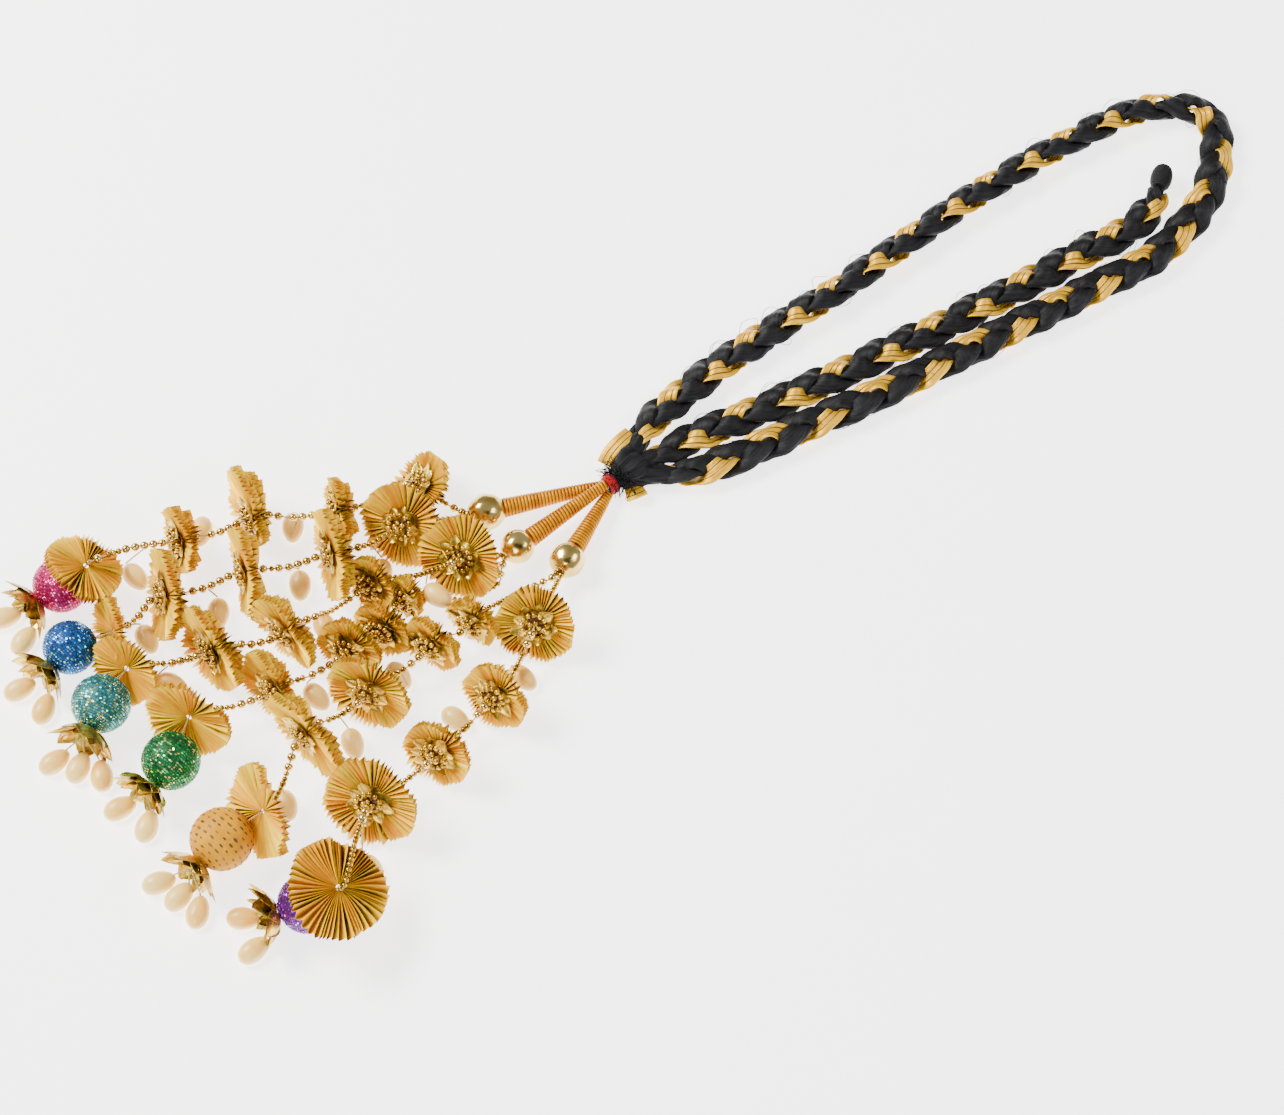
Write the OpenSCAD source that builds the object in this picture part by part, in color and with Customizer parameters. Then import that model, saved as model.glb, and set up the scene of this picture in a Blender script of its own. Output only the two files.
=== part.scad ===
// Paranda: a plaited hair tassel laid out on a flat surface.
// A long three-strand plait is folded into a loop, with a shorter plait beside it.
// Both end in a bound bundle, from which three wire-wrapped cords carry the domes.
// Six strings of pleated rosettes, beads and cowries hang from the domes, each with a ball.
// Millimetres. +Z is up from the surface, +X runs from the tassel to the loop.
// The origin is on the surface, in the middle of the whole outline.

/* [Plaits] */

// Width of the two black hanks in each plait
black_width = 6.2; // [5.4:0.2:6.2]
// Thickness of a black hank
black_thickness = 3.2; // [2.8:0.1:3.2]
// Width of the gold ribbon in each plait
ribbon_width = 5.8; // [5:0.2:5.8]
// Thickness of the folded gold ribbon
ribbon_thickness = 1.8; // [1.2:0.2:1.8]
// Distance between the rings that shape a strand
ring_step = 4.4; // [4:0.1:4.6]

/* [Tie] */

// Thickness of the red thread round the neck of the bundle
red_thickness = 1.2; // [0.8:0.1:1.2]
// Radius of a wrapped cord where it meets its dome
cord_radius = 4.6; // [4:0.1:4.8]
// Spacing of the wire turns on a wrapped cord
wire_pitch = 1.6; // [1.4:0.1:2.4]

/* [Rosettes] */

// Number of pleats in a rosette
pleats = 12; // [9:1:12]
// Wall thickness of the pleated ribbon
rosette_wall = 1; // [1:0.1:1.4]
// Height of a pleat at the rim, above and below the middle of the wall
pleat_depth = 1.2; // [0.8:0.1:1.3]
// Radius of a foil cup from its hole to the petal tips
cup_radius = 6.6; // [5:0.2:7]

/* [Beads and shells] */

// Diameter of a small bead
bead_size = 4; // [3.6:0.1:4.2]
// Distance between neighbouring small beads
bead_pitch = 4.4; // [4.4:0.1:4.8]
// Length of a cowrie
cowrie_length = 15; // [13:0.5:15.5]
// Width of a cowrie
cowrie_width = 9.8; // [8:0.2:10.2]
// Height of a cowrie
cowrie_height = 6.8; // [5:0.2:7]

/* [Hidden] */

$fn = 28;

// Middle of the whole outline, measured from the tie
middle = [48.3, 28.4];

// Colours for the preview
black = [0.06, 0.06, 0.07];
gold = [0.85, 0.62, 0.2];
bright_gold = [0.82, 0.68, 0.3];
shell = [0.95, 0.87, 0.75];
red = [0.7, 0.05, 0.08];

// The weave of a plait: half swings sideways and up, and the lean of a strand
side_swing = 4.8;
up_swing = 3.15;
strand_bank = 34;

// Path of the loop plait. Columns: x, y
loop_rows = [
    [27.2, 45.4], [40, 52], [60, 56.5], [101, 60.5], [160, 61.8], [211, 65.4], [259, 67.2],
    [308, 65.2], [345, 58.5], [363, 41], [355, 21.5], [331, 2.5], [294, -8.6], [251, -6],
    [201, -1.2], [146, 4], [96, 11], [50, 18], [28.7, 28.3]
];
// Weave of the loop plait. Columns: distance along, degrees of weave
loop_turns = [
    [0, -560], [105, 235], [204, 955], [298, 1675], [424, 2565], [566, 3645], [680, 4365], [706, 4540]
];
// Roll of the loop plait on to its edge. Columns: distance along, degrees
loop_rolls = [[0, 0], [80, 5], [130, 18], [290, 18], [345, 10], [400, 0], [706, 0]];
// Size of the loop plait. Columns: distance along, share of the full size
loop_sizes = [[0, 0.5], [8, 0.62], [24, 1], [681, 1], [698, 0.62], [706, 0.5]];

// The same four tables for the tail plait
tail_rows = [
    [27.1, 37], [56, 34.5], [105, 26.9], [155, 20.8], [206, 15.6], [256, 12.1],
    [284, 9.9], [300, 11], [310, 14.5], [316.5, 19.5]
];
tail_turns = [[0, -316], [51, 45], [255, 1485], [293, 1750]];
tail_rolls = [[0, 0], [293, 0]];
tail_sizes = [[0, 0.5], [8, 0.62], [26, 1], [274, 1], [293, 0.55]];

// Shape of the bundle. Columns: distance from the neck, half width, half height
knot_rows = [[0, 3.4, 3.4], [5, 3.6, 3.6], [7.5, 6, 4.8], [12, 9.5, 5.2], [17, 12, 5.1], [21, 12.6, 4.2]];
neck = [5.8, 36.3, 6];
knot_heading = 5;

// Wrapped cords and their domes.
// Columns: start x, y, z, dome x, y, dome radius
cord_rows = [
    [4.8, 38.9, 4.4, -46.5, 55.5, 8.4],
    [5.4, 36.3, 8.9, -45, 33, 7.8],
    [5.1, 33.7, 4.4, -30.5, 14.5, 8]
];
cord_start_radius = 2.4;
dome_hole = 2;

// The six strings, in the order pink, blue, teal, green, orange, purple.
// Columns: dome number, side of the dome hole, [points before the first rosette]
lead_rows = [
    [0, 1.2, []],
    [0, -1.2, []],
    [1, 1.2, []],
    [1, -1.2, [[-62, 24, 4], [-80, 27, 4.5]]],
    [2, 1.2, [[-46, 12, 7]]],
    [2, -1.2, []]
];

// Rosettes of each string from the dome to the ball; the last one stands by the ball or leans over it.
// Columns: x, y, radius, heading, lean, shift of the rim, height of the hub (0 stands on the surface),
// beads before it after the previous one, beads before it next to it
pink_rosettes = [
    [-64, 82, 16, 140, 52, 0, 0, 2, 0],
    [-101, 91, 14.5, 162, 12, 0, 0, 2, 1],
    [-135, 108, 18, 172, 10, 7, 0, 4, 2],
    [-167, 119, 14.5, 171, 17, 0, 0, 4, 1],
    [-210, 126.5, 17, 170, -56, 0, 24, 5, 1]
];
blue_rosettes = [
    [-82, 68, 19.5, -154, 33, 0, 0, 0, 1],
    [-116, 71.5, 20, 165, 12, 0, 0, 0, 2],
    [-152, 86, 19, 162, 10, 0, 0, 5, 1],
    [-187, 96.5, 19.5, 161, 20, 0, 0, 5, 0],
    [-215, 97, 14.2, 170, 23, 0, 0, 3, 1]
];
teal_rosettes = [
    [-71, 37, 18.5, -150, 40, 0, 21, 1, 1],
    [-109, 53, 13, -162, 20, 0, 0, 1, 1],
    [-153, 52, 18, -168, 4, 0, 0, 1, 3],
    [-184, 62, 19.5, -175, 12, 0, 0, 4, 0],
    [-219.5, 77.8, 16, -155, 32, 0, 0, 4, 1]
];
green_rosettes = [
    [-99, 40, 9.5, -165, 10, 0, 0, 2, 1],
    [-117, 31, 13.5, -150, 12, 0, 0, 0, 1],
    [-134, 31, 14.5, -150, 20, 0, 0, 0, 0],
    [-171, 32, 14.5, -170, 17, 5, 0, 4, 1],
    [-209.7, 40.3, 19, -146, 22, 0, 0, 3, 0]
];
orange_rosettes = [
    [-82, 12, 12, -155, 5, 0, 0, 3, 0],
    [-103.5, 12, 14, -154, 8, 0, 0, 1, 1],
    [-139, 7, 18.5, -146, 18, 0, 0, 2, 1],
    [-172, 4, 21, -168, 2, 0, 0, 2, 1],
    [-206.6, -15.5, 20, 177, 25, 0, 0, 3, 1]
];
purple_rosettes = [
    [-61, -6, 17.4, -136, 38, 0, 0, 0, 1],
    [-94, -25, 15, -160, 25, 0, 0, 2, 0],
    [-130, -33, 15, -150, 24, 0, 0, 2, 0],
    [-166, -37, 20, -143, 34, 0, 0, 1, 1],
    [-200, -67, 21, 138, -68, 0, 28, 2, 0]
];
rosette_rows = [
    pink_rosettes, blue_rosettes, teal_rosettes, green_rosettes, orange_rosettes, purple_rosettes
];

// Balls with their stars. Columns: x, y, radius, heading of the star
ball_rows = [
    [-222.5, 131, 12.3, 185],
    [-234.5, 102, 11.8, -165],
    [-237, 70, 12.8, -145],
    [-226, 29.5, 12.6, -160],
    [-227, -14.5, 13.6, -165],
    [-212.5, -59.5, 12.6, 165]
];
string_names = ["pink", "blue", "teal", "green", "orange", "purple"];
ball_colors = [
    [0.85, 0.1, 0.45], [0.1, 0.35, 0.8], [0.2, 0.55, 0.6],
    [0.05, 0.5, 0.2], [0.95, 0.6, 0.2], [0.4, 0.1, 0.6]
];

// Cowries beside each string. Columns: x, y, height of the underside, heading
cowrie_rows = [
    [[-121, 102, 0, 55], [-156, 124, 0, 50], [-192, 121, 0, 94]],
    [[-101, 59, 0, 55], [-134, 75, 0, 60], [-171, 84, 0, 60], [-203.5, 91, 0, 83]],
    [[-88.3, 31.5, 8.5, 107], [-136, 51, 0, 76], [-179.5, 57.5, 0, 68], [-206, 66, 0, 125]],
    [[-157, 24, 0, 97]],
    [[-122, 12, 0, 93], [-156, -4, 0, 75], [-195, -12, 0, 77]],
    [[-78, -20, 0, 105], [-113, -20, 0, 105], [-181, -58, 0, 89]]
];
// Cowries past each star. Columns: distance past the star, distance aside, turn
end_cowrie_rows = [
    [[13, -8, -20], [13, 7, 20]],
    [[13, -7, -20], [13, 8, 25]],
    [[14, -11, -30], [13, 0, 0], [13, 11, 30]],
    [[13, -8, -25], [13, 7, 20]],
    [[14, -11, -30], [13, 0, 0], [13, 11, 30]],
    [[13, -7, -20], [13, 8, 20]]
];

thread_radius = 0.35;
bead_hole = 1.1;
hub_hole = 1.3;
cup_hole = 1.6;
seat_gap = 0.3;
star_radius = 11.8;
sag_share = 0.16;
rim_share = 0.1;
cone_share = 0.1;

// General helpers

function unit(v) = v / max(norm(v), 0.000001);
function heading_of(h, lean) = [cos(lean) * cos(h), cos(lean) * sin(h), sin(lean)];
function flat(list) = [for (part = list) each part];

// Smooth curve through the rows, with a number of steps from row to row
function curve(rows, steps) =
    let (last = len(rows) - 1)
    concat(
        [for (i = [0:last - 1], k = [0:steps - 1])
            let (
                t = k / steps,
                b = rows[i],
                c = rows[i + 1],
                a = i == 0 ? 2 * b - c : rows[i - 1],
                d = i + 1 == last ? 2 * c - b : rows[i + 2]
            )
            (2 * b + (c - a) * t + (2 * a - 5 * b + 4 * c - d) * t * t
                + (3 * b - a - 3 * c + d) * t * t * t) / 2],
        [rows[last]]
    );

// Distance along a list of points, at each of them
function distances(points) =
    [for (i = 0, s = 0; i < len(points);
        s = s + (i + 1 < len(points) ? norm(points[i + 1] - points[i]) : 0), i = i + 1) s];

// A path is the points with their distances, one table for each axis
function path_of(points) =
    let (s = distances(points))
    [for (axis = [0:2]) [for (i = [0:len(points) - 1]) [s[i], points[i][axis]]]];
function path_length(path) = path[0][len(path[0]) - 1][0];
function point_at(path, s) = [for (table = path) lookup(s, table)];
function way_at(path, s) = unit(point_at(path, s + 0.6) - point_at(path, s - 0.6));

// Closed solid through rings of points, all with the same number of points.
// Each side is split along the diagonal that lies farther out, so a twisted strip stays thick.
module skin(rings) {
    n = len(rings[0]);
    last = len(rings) - 1;
    sides = [for (i = [0:last - 1], k = [0:n - 1])
        let (
            j = (k + 1) % n,
            a = i * n + k,
            b = i * n + j,
            rising = rings[i + 1][j] - rings[i][k],
            falling = rings[i][j] - rings[i + 1][k],
            between = rings[i + 1][j] + rings[i][k] - rings[i][j] - rings[i + 1][k]
        )
        each cross(falling, rising) * between > 0
            ? [[a, b + n, b], [a, a + n, b + n]]
            : [[a, a + n, b], [b, a + n, b + n]]];
    start = [for (k = [1:n - 2]) [0, k, k + 1]];
    end = [for (k = [1:n - 2]) [last * n, last * n + k + 1, last * n + k]];
    polyhedron(flat(rings), concat(sides, start, end));
}

// Stands the children on a point, with their +Z along a direction
module aim(point, way) {
    translate(point) rotate([0, acos(way[2]), atan2(way[1], way[0])]) children();
}

// Plaits

function plait_height(roll) = 5.4 + 2.8 * sin(roll);
function plait_path(rows, rolls) =
    let (
        flat_points = curve(rows, 8),
        s = distances(flat_points)
    )
    path_of([for (i = [0:len(s) - 1])
        [flat_points[i][0], flat_points[i][1], plait_height(lookup(s[i], rolls))]]);

// Directions across a plait at a distance along it: to its side and out of its face
function plait_side(plait, s) =
    let (w = way_at(plait[0], s), roll = lookup(s, plait[2]))
    unit([-w[1], w[0], 0]) * cos(roll) - [0, 0, sin(roll)];
function plait_face(plait, s) =
    let (w = way_at(plait[0], s), roll = lookup(s, plait[2]))
    unit([-w[1], w[0], 0]) * sin(roll) + [0, 0, cos(roll)];

function strand_angle(plait, number, s) = lookup(s, plait[1]) + 120 * number;
function strand_middle(plait, number, s) =
    let (a = strand_angle(plait, number, s), size = lookup(s, plait[3]))
    point_at(plait[0], s) + size * (side_swing * sin(a) * plait_side(plait, s)
        + up_swing * sin(2 * a) * plait_face(plait, s));

// One ring of a strand; the corners are shares of its half width and half thickness
function strand_ring(plait, number, s, width, thickness, corners) =
    let (
        ahead = unit(strand_middle(plait, number, s + 0.8) - strand_middle(plait, number, s - 0.8)),
        across = unit(cross(plait_face(plait, s), ahead)),
        out = cross(ahead, across),
        bank = strand_bank * cos(3 * strand_angle(plait, number, s)),
        wide = across * cos(bank) + out * sin(bank),
        thick = out * cos(bank) - across * sin(bank),
        size = lookup(s, plait[3])
    )
    [for (c = corners) strand_middle(plait, number, s)
        + size * (wide * c[0] * width / 2 + thick * c[1] * thickness / 2)];

hank_corners = [for (a = [0:60:300]) [cos(a), sin(a)]];
ribbon_corners = [[1, 0.8], [-1, 0.8], [-1, -0.8], [1, -0.8]];

module strand(plait, number, width, thickness, corners) {
    total = path_length(plait[0]) - 1.6;
    rings = ceil(total / ring_step);
    skin([for (i = [0:rings])
        strand_ring(plait, number, 0.8 + total * i / rings, width, thickness, corners)]);
}

loop_plait = [plait_path(loop_rows, loop_rolls), loop_turns, loop_rolls, loop_sizes];
tail_plait = [plait_path(tail_rows, tail_rolls), tail_turns, tail_rolls, tail_sizes];

module plait_loop_black_a() {
    color(black) strand(loop_plait, 1, black_width, black_thickness, hank_corners);
}

module plait_loop_black_b() {
    color(black) strand(loop_plait, 2, black_width, black_thickness, hank_corners);
}

module plait_loop_gold() {
    color(gold) strand(loop_plait, 0, ribbon_width, ribbon_thickness, ribbon_corners);
}

module plait_tail_black_a() {
    color(black) strand(tail_plait, 1, black_width, black_thickness, hank_corners);
}

module plait_tail_black_b() {
    color(black) strand(tail_plait, 2, black_width, black_thickness, hank_corners);
}

module plait_tail_gold() {
    color(gold) strand(tail_plait, 0, ribbon_width, ribbon_thickness, ribbon_corners);
}

// Black thread wound round the free end of the tail plait
module plait_end_knot() {
    end = path_length(tail_plait[0]);
    way = way_at(tail_plait[0], end);
    color(black) aim(point_at(tail_plait[0], end) + [0, 0, 0.8] + 0.2 * way, way)
        rotate_extrude() polygon([[0, 0], [3.2, 0], [4.6, 1.6], [5.2, 5], [4.9, 9], [3.6, 12], [0, 13.4]]);
}

// Tie

module binding_knot() {
    color(black) translate(neck) rotate([0, 0, knot_heading])
        skin([for (row = knot_rows) [for (a = [0:36:324])
            [row[0], row[1] * cos(a), row[2] * sin(a)]]]);
}

module red_thread() {
    color(red) translate(neck) rotate([0, 0, knot_heading]) rotate([0, 90, 0])
        for (i = [0:2])
            translate([0, 0, 0.9 + i * (red_thickness - 0.1)])
                rotate_extrude() translate([3.75 + red_thickness / 2, 0]) circle(d = red_thickness, $fn = 16);
}

function cord_start(i) = [cord_rows[i][0], cord_rows[i][1], cord_rows[i][2]];
function dome_middle(i) = [cord_rows[i][3], cord_rows[i][4], cord_rows[i][5] + 0.1];
function cord_way(i) = unit(dome_middle(i) - cord_start(i));

// Cord wound closely with gold wire, each turn a ridge
module wrapped_cord(i) {
    total = norm(dome_middle(i) - cord_start(i)) - 0.9 * cord_rows[i][5] - seat_gap;
    turns = round(total / wire_pitch);
    pitch = total / turns;
    function ridge(k) = cord_start_radius + (cord_radius - cord_start_radius) * k / turns;
    color(gold) aim(cord_start(i), cord_way(i))
        rotate_extrude() polygon(concat(
            [[0, 0]],
            [for (k = [0:turns - 1]) each [
                [ridge(k) - 0.45, k * pitch],
                [ridge(k), (k + 0.3) * pitch],
                [ridge(k), (k + 0.7) * pitch]]],
            [[ridge(turns) - 0.45, total], [0, total]]
        ));
}

module wrapped_cord_1() wrapped_cord(0);
module wrapped_cord_2() wrapped_cord(1);
module wrapped_cord_3() wrapped_cord(2);

// Large gold bead with a collar at each end of its hole
module dome_bead(i) {
    r = cord_rows[i][5];
    color(bright_gold) aim(dome_middle(i), cord_way(i)) difference() {
        union() {
            intersection() {
                sphere(r);
                cylinder(h = 1.66 * r, r = 2 * r, center = true);
            }
            cylinder(h = 1.8 * r, r = 0.52 * r, center = true);
        }
        cylinder(h = 3 * r, r = dome_hole, center = true);
    }
}

module dome_bead_1() dome_bead(0);
module dome_bead_2() dome_bead(1);
module dome_bead_3() dome_bead(2);

// Strings

function rosette_height(row) =
    row[6] > 0 ? row[6]
    : row[2] * cos(row[4]) - cone_share * row[2] * sin(row[4])
        + (pleat_depth + rosette_wall / 2) * abs(sin(row[4])) + 0.3;
function hub_of(row) = [row[0], row[1], rosette_height(row)];
function rosette_way(row) = heading_of(row[3], row[4]);
function is_last(s, i) = i == len(rosette_rows[s]) - 1;
function leans_over(row) = row[4] < -30;

// The thread goes straight through a rosette, but slants toward the ball in the last one
function thread_way(s, i) =
    let (row = rosette_rows[s][i], way = rosette_way(row))
    !is_last(s, i) ? way : leans_over(row) ? -ball_entry(s) : unit(way - ball_entry(s));
function ball_middle(s) = [ball_rows[s][0], ball_rows[s][1], ball_rows[s][2] + 0.1];
function ball_way(s) = heading_of(ball_rows[s][3], 0);
function ball_entry(s) = unit(hub_of(rosette_rows[s][len(rosette_rows[s]) - 1]) - ball_middle(s));

// Middle of the thread between two rosettes: it hangs, but is held up by a rim that leans over a ball
function hanging_point(a, b, held) =
    (a + b) / 2 + [0, 0, (held ? rim_share : -sag_share) * norm(a - b)];

// Points that the thread of a string passes through
function thread_rows(s) =
    let (
        lead = lead_rows[s],
        dome = dome_middle(lead[0]),
        way = cord_way(lead[0]),
        aside = unit([way[1], -way[0], 0]) * lead[1],
        rows = rosette_rows[s],
        last = len(rows) - 1
    )
    concat(
        [dome - way * 3 + aside, dome + way * (cord_rows[lead[0]][5] + 1) + aside],
        lead[2],
        [for (back = [4, 2, 0]) hub_of(rows[0]) - thread_way(s, 0) * back],
        flat([for (i = [0:last - 1])
            let (
                a = hub_of(rows[i]) + thread_way(s, i) * 6.4,
                b = hub_of(rows[i + 1]) - thread_way(s, i + 1) * 4
            )
            [a, hanging_point(a, b, leans_over(rows[i + 1])), b, hub_of(rows[i + 1])]])
    );

// All points of the thread of a string, with straight runs through the ball
function thread_points(s) =
    let (ball = ball_middle(s), r = ball_rows[s][2])
    concat(
        curve(thread_rows(s), 2),
        [ball + ball_entry(s) * (r + 1), ball, ball + ball_way(s) * (r + 5)]
    );

// Distance along the thread to the hub of each rosette, found as its nearest point
function nearest(path, target) =
    let (
        total = path_length(path),
        steps = 400,
        gaps = [for (k = [0:steps]) norm(point_at(path, total * k / steps) - target)],
        least = min(gaps)
    )
    total * [for (k = [0:steps]) if (gaps[k] == least) k][0] / steps;

// Distances along the thread of all small beads of a string
function bead_places(s, path) =
    let (
        rows = rosette_rows[s],
        hubs = [for (row = rows) nearest(path, hub_of(row))]
    )
    flat([for (i = [0:len(rows) - 1])
        let (
            start = i == 0 ? cord_rows[lead_rows[s][0]][5] + 6.4 : hubs[i - 1] + 9.6,
            stop = hubs[i] - 6.8
        )
        concat(
            [for (k = [0:1:rows[i][7] - 1]) start + k * bead_pitch],
            [for (k = [0:1:rows[i][8] - 1]) stop - k * bead_pitch]
        )]);

module thread(s) {
    path = thread_points(s);
    last = len(path) - 1;
    color(gold) {
        skin([for (i = [0:last])
            let (
                way = unit(path[min(i + 1, last)] - path[max(i - 1, 0)]),
                across = unit(cross(way, [0.1, 0.2, 1])),
                up = cross(way, across)
            )
            [for (a = [0:90:270]) path[i] + thread_radius * (across * cos(a) + up * sin(a))]]);
        for (ends = concat(side_ties(s), end_ties(s))) tie(ends[0], ends[1]);
    }
}

// Short thread between a string and the end of a cowrie
module tie(from, to) {
    aim(from, unit(to - from)) cylinder(h = norm(to - from), r = thread_radius, $fn = 14);
}

// Where a cowrie is tied: just off its back near one end, at an angle round its outline
function shell_end(shell_middle, turn, a) =
    let (off = thread_radius + seat_gap)
    shell_middle + (-cowrie_length / 2 * cos(a) - sign(cos(a)) * 0.65 * off) * heading_of(turn, 0)
    + [0, 0, cowrie_height - cowrie_width / 2 + cowrie_radius(a) + 0.76 * off];
function cowrie_radius(a) = cowrie_width / 2 * sin(a) * (1 - 0.12 * cos(a));

// Ends of each short thread: [point by the string, point by the shell]

function side_ties(s) =
    let (
        path = path_of(thread_points(s)),
        places = bead_places(s, path)
    )
    [for (row = cowrie_rows[s])
        let (
            shell_middle = [row[0], row[1], row[2] + 0.1],
            place = nearest(path, shell_middle),
            start = point_at(path, place),
            ends = [for (a = [35, 145]) shell_end(shell_middle, row[3], a)],
            to = norm(ends[0] - start) < norm(ends[1] - start) ? ends[0] : ends[1],
            to_bead = min([for (b = places) abs(b - place)]),
            off_bead = bead_size / 2 + thread_radius + seat_gap,
            reach = sqrt(max(pow(2 * thread_radius + seat_gap, 2), pow(off_bead, 2) - pow(to_bead, 2))),
            way = way_at(path, place)
        )
        [start + reach * unit(to - start - (to - start) * way * way), to]];

function end_ties(s) =
    let (
        out = ball_way(s),
        aside = [-out[1], out[0], 0],
        thread_end = ball_middle(s) + out * (ball_rows[s][2] + 5)
    )
    [for (row = end_cowrie_rows[s])
        let (b = 80 * sign(row[1]))
        [thread_end + (2 * thread_radius + seat_gap) * (cos(b) * out + sin(b) * aside),
            shell_end(end_cowrie_middle(s, row), ball_rows[s][3] + row[2], 35)]];
function end_cowrie_middle(s, row) =
    let (out = ball_way(s), star = ball_middle(s) + out * (ball_rows[s][2] + 1.4))
    [star[0], star[1], 0.1] + out * row[0] + [-out[1], out[0], 0] * row[1];

module beads(s) {
    path = path_of(thread_points(s));
    color(bright_gold) for (place = bead_places(s, path))
        aim(point_at(path, place), way_at(path, place)) rotate_extrude() difference() {
            circle(d = bead_size);
            translate([-bead_size, -bead_size]) square([bead_size + bead_hole, 2 * bead_size]);
        }
}

// Ribbon gathered at one edge into a pleated disc round its hub
module rosette(row) {
    n = 2 * pleats;
    function fold(k) = k % 2 == 0 ? 1 : -1;
    function rim(k, face) =
        let (a = 360 * k / n, r = row[2] * (1 + 0.035 * sin(3 * a + row[0])))
        [r * cos(a), r * sin(a) - row[5],
            cone_share * row[2] + fold(k) * pleat_depth + face * rosette_wall / 2];
    function hub(k, face) =
        let (a = 360 * k / n)
        [hub_hole * cos(a), hub_hole * sin(a), fold(k) * 0.2 + face * 0.8];
    points = flat([for (face = [1, -1]) concat(
        [for (k = [0:n - 1]) rim(k, face)],
        [for (k = [0:n - 1]) hub(k, face)])]);
    faces = [for (k = [0:n - 1])
        let (
            j = (k + 1) % n,
            a = k, b = j, c = n + k, d = n + j,
            e = 2 * n + k, f = 2 * n + j, g = 3 * n + k, h = 3 * n + j
        )
        each [[c, d, b], [c, b, a], [g, f, h], [g, e, f],
            [a, b, f], [a, f, e], [c, h, d], [c, g, h]]];
    translate(hub_of(row)) rotate([0, 90 - row[4], row[3]]) polyhedron(points, faces);
}

module rosettes(s) {
    color(gold) for (row = rosette_rows[s]) rosette(row);
}

// Thin shallow cone cut to a star outline, with a hole for the thread
module foil_star(radius, petals, depth) {
    difference() {
        intersection() {
            cylinder(h = depth, r1 = 2.8, r2 = radius);
            translate([0, 0, -1]) linear_extrude(depth + 2) polygon([for (k = [0:2 * petals - 1])
                let (a = 180 * k / petals, r = k % 2 == 0 ? radius : 0.68 * radius)
                [r * cos(a), r * sin(a)]]);
        }
        translate([0, 0, 0.9]) cylinder(h = depth, r1 = 2.8, r2 = radius);
        translate([0, 0, -1]) cylinder(h = depth + 2, r = cup_hole);
    }
}

module cups(s) {
    rows = rosette_rows[s];
    color(bright_gold) for (i = [0:len(rows) - 2])
        translate(hub_of(rows[i])) rotate([0, 90 - rows[i][4], rows[i][3]])
            translate([0, 0, 1.7]) foil_star(cup_radius, 8, 3.2);
}

// Egg-shaped shell with a flat underside and the slit of its mouth
module cowrie() {
    drop = cowrie_height - cowrie_width / 2;
    translate([0, 0, drop]) difference() {
        rotate([0, 90, 0]) rotate_extrude() polygon([for (a = [0:15:180])
            [cowrie_radius(a), -cowrie_length / 2 * cos(a)]]);
        translate([-cowrie_length, -cowrie_length, -cowrie_width - drop])
            cube([2 * cowrie_length, 2 * cowrie_length, cowrie_width]);
        translate([-0.34 * cowrie_length, -0.4, -cowrie_width])
            cube([0.68 * cowrie_length, 0.8, cowrie_width - drop + 0.9]);
    }
}

module cowries(s) {
    color(shell) {
        for (row = cowrie_rows[s])
            translate([row[0], row[1], row[2] + 0.1]) rotate([0, 0, row[3]]) cowrie();
        for (row = end_cowrie_rows[s])
            translate(end_cowrie_middle(s, row)) rotate([0, 0, ball_rows[s][3] + row[2]]) cowrie();
    }
}

// Ball with a hole from each side to a small hollow in its middle, where the thread turns
module ball(s) {
    r = ball_rows[s][2];
    color(ball_colors[s]) difference() {
        translate(ball_middle(s)) rotate([0, 0, ball_rows[s][3] + 90]) difference() {
            sphere(r, $fn = 48);
            sphere(3);
        }
        for (way = [ball_way(s), ball_entry(s)])
            aim(ball_middle(s) + way, way) cylinder(h = 2 * r, r = 1.2);
    }
}

module star(s) {
    color(bright_gold) aim(ball_middle(s) + ball_way(s) * (ball_rows[s][2] + 0.15), ball_way(s))
        foil_star(star_radius, 7, 4.5);
}

// Nodes

string_parts = ["thread", "beads", "rosettes", "cups", "cowries", "ball", "star"];

translate([-middle[0], -middle[1], 0]) {
    plait_loop_black_a();
    plait_loop_black_b();
    plait_loop_gold();
    plait_tail_black_a();
    plait_tail_black_b();
    plait_tail_gold();
    plait_end_knot();
    binding_knot();
    red_thread();
    wrapped_cord_1();
    wrapped_cord_2();
    wrapped_cord_3();
    dome_bead_1();
    dome_bead_2();
    dome_bead_3();
    for (s = [0:len(string_names) - 1]) {
        thread(s);
        beads(s);
        rosettes(s);
        cups(s);
        cowries(s);
        ball(s);
        star(s);
    }
}
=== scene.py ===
# %% [markdown]
# # A paranda, a plaited hair tassel
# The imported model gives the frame, in metres: +Z is up from the surface that the tassel lies on, and +X
# runs from the tassel to the loop of the plait. Every piece below is made in that frame, over the CAD solid
# that it stands for, so that nothing has to be fitted afterwards.

# %% Load the frame
import math

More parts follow.
